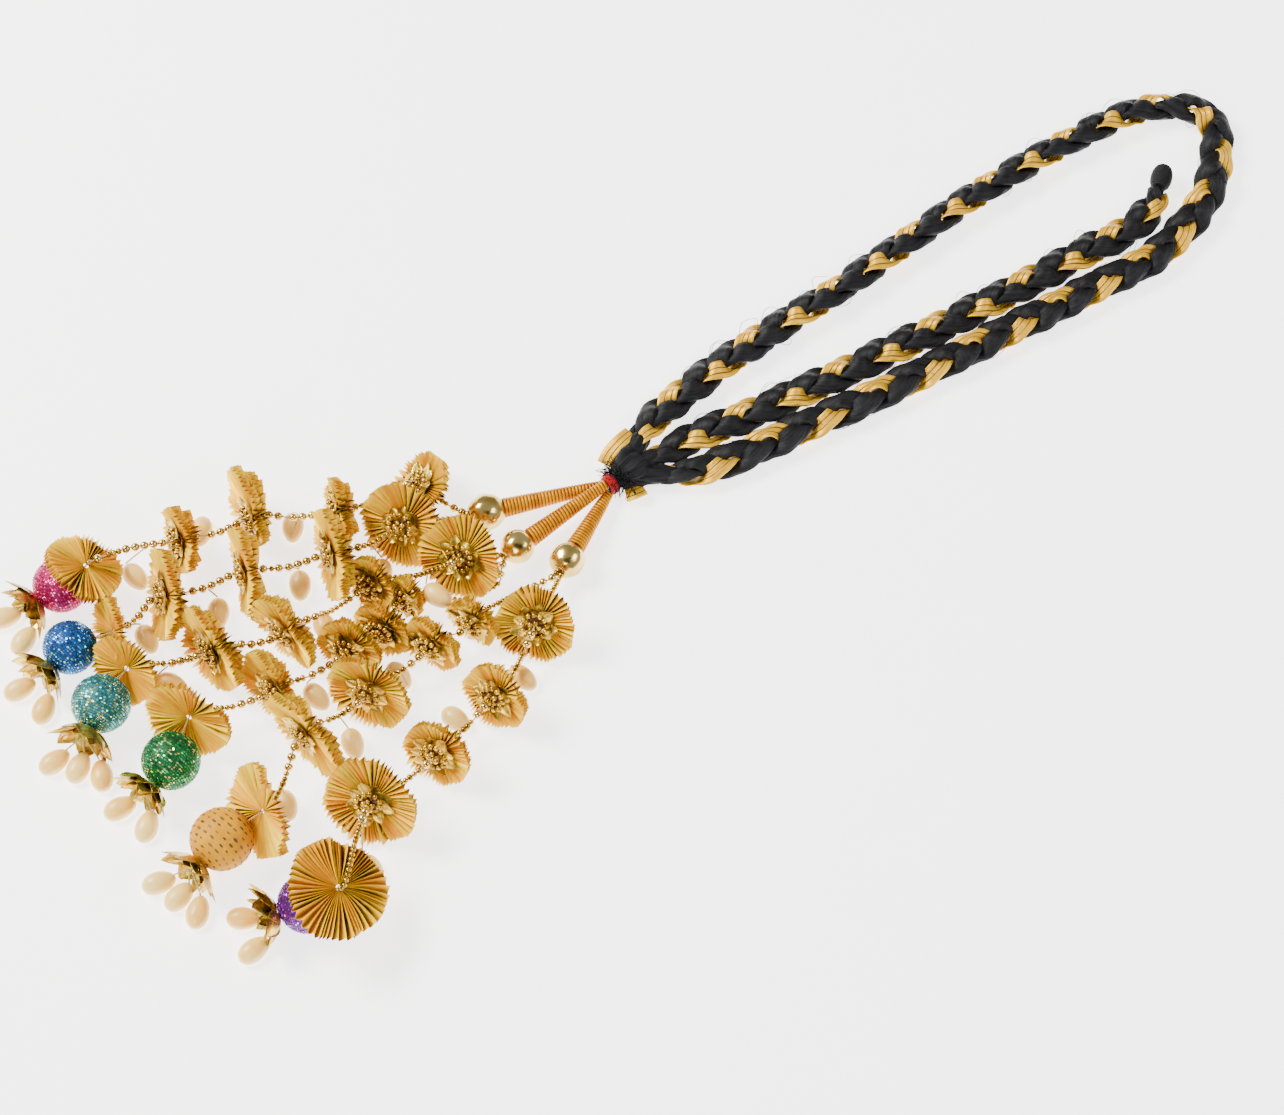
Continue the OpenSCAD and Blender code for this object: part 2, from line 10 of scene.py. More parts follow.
import bpy
import numpy as np
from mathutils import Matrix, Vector


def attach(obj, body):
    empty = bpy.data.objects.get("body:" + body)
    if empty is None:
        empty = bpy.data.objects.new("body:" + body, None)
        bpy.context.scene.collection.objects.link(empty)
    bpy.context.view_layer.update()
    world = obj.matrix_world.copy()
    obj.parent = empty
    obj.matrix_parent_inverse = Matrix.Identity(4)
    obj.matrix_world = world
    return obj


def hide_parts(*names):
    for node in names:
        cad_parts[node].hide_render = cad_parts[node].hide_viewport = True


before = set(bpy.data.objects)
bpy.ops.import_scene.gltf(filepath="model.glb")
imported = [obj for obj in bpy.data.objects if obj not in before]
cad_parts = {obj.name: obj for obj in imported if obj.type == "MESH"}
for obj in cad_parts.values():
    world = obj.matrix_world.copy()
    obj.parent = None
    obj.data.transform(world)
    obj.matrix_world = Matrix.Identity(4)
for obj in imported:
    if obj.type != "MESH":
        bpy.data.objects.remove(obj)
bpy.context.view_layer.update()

# %% [markdown]
# ## Camera
# The photograph looks down steeply, from the tassel's side, through a long lens. The camera could be placed
# by eye, but then nothing would lie over its place in the photo. Here it stands on the line that was worked
# out from the photo and aims at the tie, and its long lens keeps near and far pieces at one scale, as the
# photo does.

# %% Camera
MIDDLE = np.array([48.3, 28.4, 0.0])
CAMERA_PLACE = [-350.0, -500.0, 1147.8]


def metres(points):
    """Points of the tables, in millimetres from the tie, as points of the frame in metres."""
    return (np.asarray(points, float) - MIDDLE) / 1000.0


def look(thing, place, target):
    """Puts a camera, light or card at a place and turns its -Z side to a target."""
    thing.location = place
    thing.rotation_euler = (Vector(target) - Vector(place)).to_track_quat("-Z", "Y").to_euler()


camera = bpy.data.objects.new("camera", bpy.data.cameras.new("camera"))
camera.data.sensor_width = 36.0
camera.data.lens = 81.0
camera.data.clip_start, camera.data.clip_end = 0.05, 20.0
look(camera, metres(CAMERA_PLACE), metres([0.0, 0.0, 0.0]))
bpy.context.scene.collection.objects.link(camera)
bpy.context.scene.camera = camera
print("camera at", tuple(round(x, 3) for x in camera.location))

# %% [markdown]
# ## Light, floor and flag
# The floor and the light are the pale ones of a small product studio: one wide soft light from the upper
# left, a weaker one from the right and one from the front. Gilt shows what it mirrors, and an evenly pale
# room would make it look like cream. So a dark card, a flag, stands behind the camera for it to mirror
# between the lights.

# %% Lights, floor and flag
def area_light(name, place, size, power, color=(1, 1, 1)):
    """A soft rectangular light that shines on the middle of the part."""
    light = bpy.data.objects.new(name, bpy.data.lights.new(name, "AREA"))
    light.data.shape = "RECTANGLE"
    light.data.size, light.data.size_y = size
    light.data.energy = power
    light.data.color = color
    look(light, place, (0, 0, 0))
    bpy.context.scene.collection.objects.link(light)


area_light("key", (-0.7, 1.0, 1.3), (0.8, 0.6), 66.0, (1.0, 0.98, 0.94))
area_light("fill", (0.9, -0.9, 1.2), (0.9, 0.6), 14.0, (0.97, 0.98, 1.0))
area_light("front", (-1.2, -0.9, 0.9), (0.6, 0.5), 14.0)

world = bpy.data.worlds.new("studio")
bpy.context.scene.world = world
world.use_nodes = True
world.node_tree.nodes["Background"].inputs["Color"].default_value = (0.96, 0.97, 1.0, 1)
world.node_tree.nodes["Background"].inputs["Strength"].default_value = 0.4

bpy.ops.mesh.primitive_plane_add(size=40.0, location=(0, 0, -0.0002))
floor = bpy.context.object
floor.name = "floor"

bpy.ops.mesh.primitive_plane_add(size=1.0)
flag = bpy.context.object
flag.name = "flag"
flag.scale = (1.5, 1.1, 1.0)
look(flag, (-0.50, -0.67, 1.50), (-0.05, -0.03, 0.0))
print("three lights, a floor and a flag")

# %% [markdown]
# ## Shader sums written as Python
# A procedural material is a long sum of sockets. The class below wraps one socket, so that plain Python
# operators make the maths nodes, and one method makes any other node. The same helper builds the trees of
# Geometry Nodes further down.

# %% Node helpers
def put_node(tree, kind, settings, inputs):
    """Adds a node: settings are its own values, inputs are links or values by socket name or number."""
    node = tree.nodes.new(kind)
    for name, value in settings.items():
        setattr(node, name, value)
    for name, value in inputs.items():
        socket = node.inputs[name]
        if isinstance(value, Wire):
            value = value.socket
        if isinstance(value, bpy.types.NodeSocket):
            tree.links.new(value, socket)
        else:
            socket.default_value = value
    return node


class Wire:
    """A node socket that takes part in Python sums."""

    def __init__(self, tree, socket):
        self.tree, self.socket = tree, socket

    def node(self, kind, settings, inputs, output=0):
        """Any node in the same tree; gives one of its outputs."""
        return Wire(self.tree, put_node(self.tree, kind, settings, inputs).outputs[output])

    def maths(self, operation, *values):
        return self.node("ShaderNodeMath", {"operation": operation}, dict(enumerate(values)))

    def __add__(self, other):
        return self.maths("ADD", self, other)

    def __radd__(self, other):
        return self.maths("ADD", other, self)

    def __sub__(self, other):
        return self.maths("SUBTRACT", self, other)

    def __rsub__(self, other):
        return self.maths("SUBTRACT", other, self)

    def __mul__(self, other):
        return self.maths("MULTIPLY", self, other)

    def __rmul__(self, other):
        return self.maths("MULTIPLY", other, self)

    def sin(self):
        return self.maths("SINE", self)

    def size(self):
        return self.maths("ABSOLUTE", self)

    def ramp(self, low, high):
        """0 below low, 1 above high, smooth between."""
        return self.node("ShaderNodeMapRange", {"interpolation_type": "SMOOTHSTEP"},
                         {"Value": self, "From Min": low, "From Max": high})

    def mix(self, a, b):
        """Colour a where this is 0, colour b where it is 1."""
        return self.node("ShaderNodeMix", {"data_type": "RGBA"}, {"Factor": self, 6: a, 7: b}, 2)

    def part(self, number):
        """X, Y or Z of this vector, by number."""
        return self.node("ShaderNodeSeparateXYZ", {}, {0: self}, number)

    def noise(self, scale, detail=2.0):
        """Noise over this vector."""
        return self.node("ShaderNodeTexNoise", {}, {"Vector": self, "Scale": scale, "Detail": detail})


def new_material(name, **fixed):
    """A material, its shader node and its object coordinates; fixed are constant shader sockets."""
    made = bpy.data.materials.new(name)
    made.use_nodes = True
    tree = made.node_tree
    shader = tree.nodes["Principled BSDF"]
    for socket, value in fixed.items():
        shader.inputs[socket.replace("_", " ")].default_value = value
    return made, shader, Wire(tree, None).node("ShaderNodeTexCoord", {}, {}, "Object")


def uv_of(wire):
    """The UV coordinates, in the same tree as a wire."""
    return wire.node("ShaderNodeTexCoord", {}, {}, "UV")


def plane_of(wire, x, y):
    """A vector of two numbers, for noise that is stretched its own way."""
    return wire.node("ShaderNodeCombineXYZ", {}, {0: x, 1: y})


def finish_material(shader, wires, height=None, depth=0.0002, strength=0.6):
    """Links wires to shader sockets by name, and a height to the normal through a bump."""
    tree = shader.id_data
    for name, wire in wires.items():
        tree.links.new(wire.socket, shader.inputs[name])
    if height is not None:
        bump = put_node(tree, "ShaderNodeBump", {},
                        {"Height": height, "Distance": depth, "Strength": strength})
        tree.links.new(bump.outputs[0], shader.inputs["Normal"])


def named(wire, name):
    """A number that the mesh carries at each point."""
    return wire.node("ShaderNodeAttribute", {"attribute_name": name}, {}, "Fac")


print("node helpers ready")

# %% [markdown]
# ## Paper and felt
# The floor is a pale sheet of paper: nearly white, with a trace of grain so that the soft shadows sit on
# something. It glows a little, because a white floor in such a photo is lit until it is brighter than what
# lies on it. The flag is black felt, which gives back almost nothing.

# %% Floor and flag materials
paper, shader, here = new_material("paper", Roughness=0.9, Emission_Strength=2.9)
grain = here.noise(40.0, 4.0)
white = grain.mix((0.93, 0.93, 0.935, 1), (0.955, 0.955, 0.955, 1))
finish_material(shader, {"Base Color": white, "Emission Color": white})
floor.data.materials.append(paper)

felt, shader, here = new_material("black_felt", Roughness=1.0, Specular_IOR_Level=0.0)
nap = here.noise(60.0, 2.0).mix((0.008, 0.007, 0.004, 1), (0.02, 0.017, 0.01, 1))
finish_material(shader, {"Base Color": nap})
flag.data.materials.append(felt)
print("floor and flag finished")

# %% [markdown]
# ## Collecting small meshes into one piece
# A rosette, a bead or a thread is made as arrays of points and faces in millimetres. A heap gathers many of
# them, with a UV for each face corner and numbers for each point, and turns them into one Blender mesh at
# the end.

# %% Heap
class Heap:
    """Gathers small meshes, in millimetres, that become one piece."""

    def __init__(self, **numbers):
        self.points, self.faces, self.uvs = [], [], []
        self.numbers = {name: [] for name in numbers}
        self.plain = numbers
        self.count = 0

    def add(self, points, faces, uvs, **numbers):
        points = np.asarray(points, float)
        self.points.append(points)
        self.faces += [tuple(i + self.count for i in face) for face in faces]
        self.uvs.append(np.asarray(uvs, float))
        for name, plain in self.plain.items():
            value = numbers.get(name, plain)
            self.numbers[name].append(np.broadcast_to(np.asarray(value, float), (len(points),)))
        self.count += len(points)

    def build(self, name, material, slot, replaces=(), smooth=True):
        mesh = bpy.data.meshes.new(name)
        mesh.from_pydata(metres(np.concatenate(self.points)).tolist(), [], self.faces)
        layer = mesh.uv_layers.new(name="UVMap")
        layer.data.foreach_set("uv", np.concatenate(self.uvs).ravel())
        for number, values in self.numbers.items():
            mesh.attributes.new(number, "FLOAT", "POINT").data.foreach_set("value", np.concatenate(values))
        mesh.polygons.foreach_set("use_smooth", [smooth] * len(mesh.polygons))
        mesh.materials.append(material)
        made = bpy.data.objects.new(name, mesh)
        bpy.context.scene.collection.objects.link(made)
        return settle(made, replaces)


def settle(made, replaces=()):
    """Lets a finished piece ride on the body, if it has one, and stand for its CAD nodes."""
    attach(made, "root")
    if replaces:
        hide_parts(*replaces)
    made.data.calc_loop_triangles()
    print(made.name, len(made.data.loop_triangles), "triangles")
    return made


print("heap ready")

# %% [markdown]
# ## Skins and directions
# Most pieces are rings of points joined by a skin: a strand, a shell, a turned bead. One function joins any
# rings, and another looks at the volume that the faces enclose and turns them all round if it is negative,
# which is safer than thinking about the order of the points for each piece.

# %% Mesh helpers
def skin(rings, along=None, capped=True):
    """Closed skin through rings of points: points, faces and corner UVs, with the faces outwards."""
    rings = np.asarray(rings, float)
    rows, n = rings.shape[:2]
    along = np.linspace(0, 1, rows) if along is None else np.asarray(along)
    i, k = np.meshgrid(np.arange(rows - 1), np.arange(n), indexing="ij")
    i, k = i.ravel(), k.ravel()
    j = (k + 1) % n
    quads = np.stack([i * n + k, i * n + j, (i + 1) * n + j, (i + 1) * n + k], 1)
    u0, u1, v0, v1 = k / n, (k + 1) / n, along[i], along[i + 1]
    uvs = np.stack([u0, v0, u1, v0, u1, v1, u0, v1], 1)
    faces, uvs = quads.tolist(), uvs.reshape(-1, 2)
    if capped:
        faces += [list(range(n))[::-1], list(range((rows - 1) * n, rows * n))]
        ends = np.array([[0.5, along[0]]] * n + [[0.5, along[-1]]] * n)
        uvs = np.concatenate([uvs, ends])
    return rings.reshape(-1, 3), faces, uvs


def turn_out(points, faces, uvs):
    """Flips all faces if they enclose a negative volume."""
    volume = 0.0
    for face in faces:
        a = points[face[0]]
        for b, c in zip(face[1:-1], face[2:]):
            volume += np.dot(a, np.cross(points[b], points[c]))
    if volume >= 0:
        return points, faces, uvs
    flipped, start, turned = [], 0, []
    for face in faces:
        flipped.append(face[::-1])
        turned.append(uvs[start:start + len(face)][::-1])
        start += len(face)
    return points, flipped, np.concatenate(turned)


def unit(v):
    """A vector, or each of many, made one long."""
    v = np.asarray(v, float)
    return v / np.maximum(np.linalg.norm(v, axis=-1, keepdims=True), 1e-9)


def heading_of(turn, lean):
    """Direction of a turn about +Z and a lean above the floor, in degrees."""
    h, t = math.radians(turn), math.radians(lean)
    return np.array([math.cos(t) * math.cos(h), math.cos(t) * math.sin(h), math.sin(t)])


def frame_to(way):
    """Columns are two directions across a way, then the way itself, turned as the CAD turns its pieces."""
    way = unit(way)
    h = math.atan2(way[1], way[0])
    t = math.acos(max(-1.0, min(1.0, way[2])))
    x = np.array([math.cos(h) * math.cos(t), math.sin(h) * math.cos(t), -math.sin(t)])
    y = np.array([-math.sin(h), math.cos(h), 0.0])
    return np.stack([x, y, way], 1)


print("mesh helpers ready")

# %% [markdown]
# ## Paths
# The plaits and strings follow the same rows of points as the CAD source, through the same smooth curve. A
# path is kept as points with their distances, so a place or a direction is read at any distance along it.

# %% Path helpers
def curve(rows, steps):
    """Catmull-Rom curve through rows of points."""
    rows = np.asarray(rows, float)
    padded = np.concatenate([[2 * rows[0] - rows[1]], rows, [2 * rows[-1] - rows[-2]]])
    a, b, c, d = padded[:-3, None], padded[1:-2, None], padded[2:-1, None], padded[3:, None]
    t = (np.arange(steps) / steps)[None, :, None]
    points = (2 * b + (c - a) * t + (2 * a - 5 * b + 4 * c - d) * t**2 + (3 * b - a - 3 * c + d) * t**3) / 2
    return np.concatenate([points.reshape(-1, rows.shape[1]), rows[-1:]])


class Path:
    """Points along a line, read by the distance from its start."""

    def __init__(self, points):
        self.points = np.asarray(points, float)
        self.s = np.concatenate([[0], np.cumsum(np.linalg.norm(np.diff(self.points, axis=0), axis=1))])
        self.length = self.s[-1]

    def at(self, s):
        return np.stack([np.interp(s, self.s, self.points[:, i]) for i in range(3)], -1)

    def way(self, s):
        """Direction of the path, over a short piece of it."""
        s = np.asarray(s, float)
        return unit(self.at(s + 0.6) - self.at(s - 0.6))

    def tube(self, s, section):
        """Rings round the path; section holds, for each ring and corner, how far aside and how far up."""
        way = self.way(s)
        aside = unit(np.cross(way, [0, 0, 1.0]))
        up = np.cross(aside, way)
        return self.at(s)[:, None] + aside[:, None] * section[..., :1] + up[:, None] * section[..., 1:]

    def nearest(self, target):
        """Distance along the path at which it passes closest to a point."""
        s = self.length * np.arange(401) / 400
        return s[np.argmin(np.linalg.norm(self.at(s) - target, axis=1))]


print("paths ready")

# %% [markdown]
# ## A tree that sets copies
# Beads, cowries and the flecks of the balls repeat. This tree of Geometry Nodes sets a copy of a small mesh
# on every point of a mesh, turned by two directions and sized by a number that the point carries. The
# places are worked out in Python, where they follow the same rows as everything else, and the tree does the
# copying.

# %% Tree for copies
def new_tree(name, *sockets):
    """A tree with a Geometry socket in and out, and other inputs given as (name, type)."""
    tree = bpy.data.node_groups.new(name, "GeometryNodeTree")
    tree.interface.new_socket("Geometry", in_out="INPUT", socket_type="NodeSocketGeometry")
    for socket, kind in sockets:
        tree.interface.new_socket(socket, in_out="INPUT", socket_type=kind)
    tree.interface.new_socket("Geometry", in_out="OUTPUT", socket_type="NodeSocketGeometry")
    group = tree.nodes.new("NodeGroupInput")
    return tree, {out.name: Wire(tree, out) for out in group.outputs if out.name}


def end_tree(tree, real, material):
    """Ends a tree whose meshes are already whole: one material on them, and the output."""
    wire = real.node("GeometryNodeSetMaterial", {}, {"Geometry": real, "Material": material})
    out = tree.nodes.new("NodeGroupOutput")
    tree.links.new(wire.socket, out.inputs["Geometry"])


def carried(wire, name, kind):
    """What each point of the mesh carries under a name."""
    return wire.node("GeometryNodeInputNamedAttribute", {"data_type": kind}, {"Name": name})


copies, given = new_tree("place copies", ("Copy", "NodeSocketObject"), ("Material", "NodeSocketMaterial"))
start = given["Geometry"]
turn = start.node("FunctionNodeAxesToRotation", {"primary_axis": "Z", "secondary_axis": "X"},
                  {"Primary Axis": carried(start, "up", "FLOAT_VECTOR"),
                   "Secondary Axis": carried(start, "side", "FLOAT_VECTOR")})
source = given["Copy"].node("GeometryNodeObjectInfo", {}, {"Object": given["Copy"]}, "Geometry")
placed = start.node("GeometryNodeInstanceOnPoints", {},
                    {"Points": start, "Instance": source, "Rotation": turn,
                     "Scale": carried(start, "size", "FLOAT")})
real = placed.node("GeometryNodeRealizeInstances", {}, {"Geometry": placed})
end_tree(copies, real, given["Material"])
print("tree:", copies.name)

# %% [markdown]
# ## A tree that rounds strands
# Threads, ties and loose hairs are chains of edges. This tree turns each chain into a curve and sweeps a
# circle along it, as a curve object's bevel would. It also stores how far along and how far round each
# point lies, from which the shader of a thread draws its twist.

# %% Tree for strands
strand_tree, given = new_tree("round strand", ("Radius", "NodeSocketFloat"), ("Corners", "NodeSocketInt"),
                              ("Material", "NodeSocketMaterial"))
start = given["Geometry"]
lines = start.node("GeometryNodeMeshToCurve", {}, {"Mesh": start})
length = start.node("GeometryNodeSplineParameter", {}, {}, "Length")
factor = start.node("GeometryNodeSplineParameter", {}, {}, "Factor")
lines = lines.node("GeometryNodeStoreNamedAttribute", {"data_type": "FLOAT", "domain": "POINT"},
                   {"Geometry": lines, "Name": "along", "Value": length})
ring = start.node("GeometryNodeCurvePrimitiveCircle", {"mode": "RADIUS"},
                  {"Resolution": given["Corners"], "Radius": given["Radius"]})
ring = ring.node("GeometryNodeStoreNamedAttribute", {"data_type": "FLOAT", "domain": "POINT"},
                 {"Geometry": ring, "Name": "around", "Value": factor})
tube = lines.node("GeometryNodeCurveToMesh", {}, {"Curve": lines, "Profile Curve": ring, "Fill Caps": True})
real = tube.node("GeometryNodeRealizeInstances", {}, {"Geometry": tube})
end_tree(strand_tree, real, given["Material"])
print("tree:", strand_tree.name)

# %% [markdown]
# ## Run a tree
# A tree runs as a modifier on a mesh of points or edges. Its inputs are set by their identifiers, the
# result is read from the evaluated object as a plain mesh, and the object that carried the modifier is
# removed.

# %% Growing pieces
def grow(name, mesh, tree, inputs, replaces=(), smooth=True):
    """Runs a tree on a mesh and keeps the result as a plain mesh."""
    seed = bpy.data.objects.new(name + "_seed", mesh)
    bpy.context.scene.collection.objects.link(seed)
    modifier = seed.modifiers.new("grow", "NODES")
    modifier.node_group = tree
    for item in tree.interface.items_tree:
        if item.in_out == "INPUT" and item.name in inputs:
            modifier[item.identifier] = inputs[item.name]
    bpy.context.view_layer.update()
    evaluated = seed.evaluated_get(bpy.context.evaluated_depsgraph_get())
    made = bpy.data.objects.new(name, bpy.data.meshes.new_from_object(evaluated))
    made.data.name = name
    bpy.context.scene.collection.objects.link(made)
    bpy.data.objects.remove(seed)
    made.data.polygons.foreach_set("use_smooth", [smooth] * len(made.data.polygons))
    return settle(made, replaces)


def points_mesh(name, points, edges=(), **numbers):
    """Points in millimetres with what they carry: numbers, or rows of three."""
    mesh = bpy.data.meshes.new(name)
    mesh.from_pydata(metres(points).tolist(), list(edges), [])
    for number, values in numbers.items():
        values = np.asarray(values, float)
        kind, key = ("FLOAT_VECTOR", "vector") if values.ndim == 2 else ("FLOAT", "value")
        mesh.attributes.new(number, kind, "POINT").data.foreach_set(key, values.ravel())
    return mesh


def strands_mesh(name, lines):
    """Chains of points as edges, ready for the round strand tree."""
    points, edges = [], []
    for line in lines:
        start = len(points)
        points += [list(p) for p in line]
        edges += [(i, i + 1) for i in range(start, len(points) - 1)]
    return points_mesh(name, np.array(points), edges)


def template(name, points, faces, uvs):
    """A small mesh in millimetres round its own origin, kept only while copies are made from it."""
    mesh = bpy.data.meshes.new(name)
    mesh.from_pydata((np.asarray(points) / 1000).tolist(), [], [tuple(face) for face in faces])
    mesh.uv_layers.new(name="UVMap").data.foreach_set("uv", np.asarray(uvs, float).ravel())
    made = bpy.data.objects.new(name, mesh)
    bpy.context.scene.collection.objects.link(made)
    return made


print("ready to grow pieces")

# %% [markdown]
# ## The plaits' tables
# Two hanks of black thread and one flat gold ribbon are plaited, once for the long loop and once for the
# short tail. A curve object could carry them, but a hand plait isn't even. So the tables of the CAD source
# are used again: rows of places, and by the distance along the plait how far its strands have turned, how
# far it rolls over and its size.

# %% Plait tables
LOOP_ROWS = [
    [27.2, 45.4], [40, 52], [60, 56.5], [101, 60.5], [160, 61.8], [211, 65.4], [259, 67.2],
    [308, 65.2], [345, 58.5], [363, 41], [355, 21.5], [331, 2.5], [294, -8.6], [251, -6],
    [201, -1.2], [146, 4], [96, 11], [50, 18], [28.7, 28.3]]
LOOP_TURNS = [[0, -560], [105, 235], [204, 955], [298, 1675], [424, 2565], [566, 3645], [680, 4365],
              [706, 4540]]
LOOP_ROLLS = [[0, 0], [80, 5], [130, 18], [290, 18], [345, 10], [400, 0], [706, 0]]
LOOP_SIZES = [[0, 0.55], [10, 0.8], [22, 1], [684, 1], [696, 0.8], [706, 0.55]]
TAIL_ROWS = [
    [27.1, 37], [56, 34.5], [105, 26.9], [155, 20.8], [206, 15.6], [256, 12.1],
    [284, 9.9], [300, 11], [310, 14.5], [316.5, 19.5]]
TAIL_TURNS = [[0, -316], [51, 45], [255, 1485], [293, 1750]]
TAIL_ROLLS = [[0, 0], [293, 0]]
TAIL_SIZES = [[0, 0.55], [10, 0.75], [26, 1], [276, 1], [293, 0.6]]
STRAND_BANK = 34.0
STRAND_END = 0.8
PLAIT_HEIGHT, ROLL_RISE = 5.4, 2.8
HANK = {"width": 9.8, "thickness": 4.9, "swing": 4.1, "rise": 3.0}
RIBBON = {"width": 8.4, "thickness": 1.5, "swing": 4.3, "rise": 4.1}
print("plait tables with", len(LOOP_ROWS), "and", len(TAIL_ROWS), "places")

# %% [markdown]
# ## Strands that pass over and under
# Every strand swings from side to side once while it goes up and down twice, a third of a turn behind its
# neighbour, which is the path of a three-strand plait, and it banks as it goes under and over. The section
# is given by a function, so that the hanks and the ribbon share all the rest.

# %% Plait strands
def read(table, s):
    """Value of a table, whose rows are (distance, value), at a distance."""
    table = np.asarray(table, float)
    return np.interp(s, table[:, 0], table[:, 1])


def column(values):
    """Numbers made ready to multiply rows of three."""
    return np.asarray(values)[..., None]


class Plait:
    """Three strands, numbered 0 to 2, that plait along a path."""

    def __init__(self, rows, turns, rolls, sizes):
        flat = curve(rows, 24)
        s = np.concatenate([[0], np.cumsum(np.linalg.norm(np.diff(flat, axis=0), axis=1))])
        height = PLAIT_HEIGHT + ROLL_RISE * np.sin(np.radians(read(rolls, s)))
        self.path = Path(np.column_stack([flat, height]))
        self.turns, self.rolls, self.sizes = turns, rolls, sizes

    def sides(self, s):
        """Directions to the side of the plait and out of its face."""
        way = self.path.way(s)
        roll = np.radians(read(self.rolls, s))
        flat = unit(np.stack([-way[..., 1], way[..., 0], 0 * way[..., 0]], -1))
        up = np.array([0, 0, 1.0])
        return (flat * column(np.cos(roll)) - up * column(np.sin(roll)),
                flat * column(np.sin(roll)) + up * column(np.cos(roll)))

    def angle(self, number, s):
        return np.radians(read(self.turns, s) + 120 * number)

    def middle(self, number, s, kind):
        """Middle line of a strand."""
        a, size = self.angle(number, s), read(self.sizes, s)
        side, face = self.sides(s)
        return self.path.at(s) + (side * column(kind["swing"] * size * np.sin(a))
                                  + face * column(kind["rise"] * size * np.sin(2 * a)))

    def strand(self, number, kind, corners, step):
        """Rings of a strand: corners are shares of its half width and half thickness at each ring."""
        s = np.linspace(STRAND_END, self.path.length - STRAND_END, int(self.path.length / step))
        ahead = unit(self.middle(number, s + 0.8, kind) - self.middle(number, s - 0.8, kind))
        across = unit(np.cross(self.sides(s)[1], ahead))
        out = np.cross(ahead, across)
        bank = np.radians(STRAND_BANK) * np.cos(3 * self.angle(number, s))
        wide = across * column(np.cos(bank)) + out * column(np.sin(bank))
        thick = out * column(np.cos(bank)) - across * column(np.sin(bank))
        size = read(self.sizes, s)[:, None, None]
        c = corners(s + 61.0 * number)
        aside = wide[:, None, :] * c[..., :1] * kind["width"] / 2
        above = thick[:, None, :] * c[..., 1:] * kind["thickness"] / 2
        rings = self.middle(number, s, kind)[:, None, :] + size * (aside + above)
        rings[..., 2] = np.maximum(rings[..., 2], 0.12)
        return s, rings


loop_plait = Plait(LOOP_ROWS, LOOP_TURNS, LOOP_ROLLS, LOOP_SIZES)
tail_plait = Plait(TAIL_ROWS, TAIL_TURNS, TAIL_ROLLS, TAIL_SIZES)
print("plaits of", round(loop_plait.path.length), "and", round(tail_plait.path.length), "mm")

# %% [markdown]
# ## Black thread
# A hank is combed thread: nearly black, with a dull sheen that breaks into fine lines along the strand.
# Thousands of real hairs would cost too much, so the lines are noise on the UV, stretched a hundred times
# along the strand, and they turn the normal as well as the sheen.

# %% Black hank material
black_hank, shader, here = new_material("black_hank", Specular_IOR_Level=0.2)
uv = uv_of(here)
around, along = uv.part(0), uv.part(1)
place = plane_of(uv, around + along * 0.004, along * 0.011)
hairs = place.noise(95.0, 3.0)
locks = place.noise(14.0, 2.0)
tint = (hairs * 0.65 + locks * 0.35).ramp(0.36, 0.66)
finish_material(shader, {"Base Color": tint.mix((0.0015, 0.0015, 0.002, 1), (0.012, 0.012, 0.014, 1)),
                         "Roughness": 0.38 + 0.25 * hairs},
                hairs * 0.6 + locks, 0.0005, 0.8)
print("material:", black_hank.name)

# %% [markdown]
# ## The four hanks
# A hank bulges between its crossings and is grooved between locks of thread that turn slowly along it. The
# section below is an oval whose radius swells by a sum of slow waves, which reads as hair where a plain
# oval reads as rubber.

# %% Hanks
UV_STEP = 18.0


def hank_corners(s):
    """A flattened oval, puffed unevenly and grooved between its locks of thread."""
    a = np.linspace(0, 2 * np.pi, 36, endpoint=False)[None, :]
    s = s[:, None]
    lock = (1 + 0.04 * np.sin(0.19 * s) + 0.03 * np.sin(0.41 * s + 1) + 0.024 * np.cos(5 * a + s * 0.10)
            + 0.018 * np.cos(9 * a - s * 0.07 + 1.0) + 0.012 * np.cos(15 * a + s * 0.05))
    square = 0.9
    return np.stack([np.sign(np.cos(a)) * np.abs(np.cos(a)) ** square * lock,
                     np.sign(np.sin(a)) * np.abs(np.sin(a)) ** square * lock], -1)


for plait, name in ((loop_plait, "plait_loop_black"), (tail_plait, "plait_tail_black")):
    for number, letter in ((1, "a"), (2, "b")):
        heap = Heap()
        s, rings = plait.strand(number, HANK, hank_corners, 1.3)
        heap.add(*turn_out(*skin(rings, s / UV_STEP)))
        heap.build(name + "_" + letter + "_hank", black_hank, "black_hank", [name + "_" + letter])

# %% [markdown]
# ## Gold ribbon
# The ribbon of the plaits is woven with metal thread and folded along its length, and painted shade makes two
# darker creases on its flat faces. Each point of the mesh carries how far across the ribbon it lies, and the
# shader draws the two creases from that, which wander a little. It is more paint than mirror, because a
# mirror of a pale room would look cream.

# %% Gold ribbon material
gold_ribbon, shader, here = new_material("gold_ribbon", Specular_IOR_Level=0.3)
across, along = named(here, "across"), uv_of(here).part(1)
place = plane_of(here, across * 1.4, along * 0.05)
streak = place.noise(6.0, 3.0)
wander = (along * 0.9).sin() * 0.05
# Painted shade: two wandering creases go dark brown; the same mask also sets metallic and bump.
crease_shade_a = (across + wander + 0.38).size().ramp(0.015, 0.11)
crease_shade_b = (across - wander - 0.22).size().ramp(0.01, 0.09)
crease_shade_mask = crease_shade_a * crease_shade_b
weave = plane_of(here, across * 60.0, along * 80.0).noise(1.0, 1.0)
body = streak.ramp(0.32, 0.7).mix((0.66, 0.31, 0.006, 1), (0.98, 0.60, 0.035, 1))
finish_material(shader, {"Base Color": crease_shade_mask.mix((0.11, 0.03, 0.002, 1), body),
                         "Metallic": crease_shade_mask * 0.3 + 0.15,
                         "Roughness": 0.34 + 0.22 * streak},
                crease_shade_mask * 0.7 + streak * 0.25 + weave * 0.12, 0.0004, 0.8)
print("material:", gold_ribbon.name)

# %% [markdown]
# ## The two ribbons
# The third strand of each plait is this ribbon. Its section is flat, with a shallow valley at a crease and
# thin edges, and each point keeps its place across the ribbon for the shader.

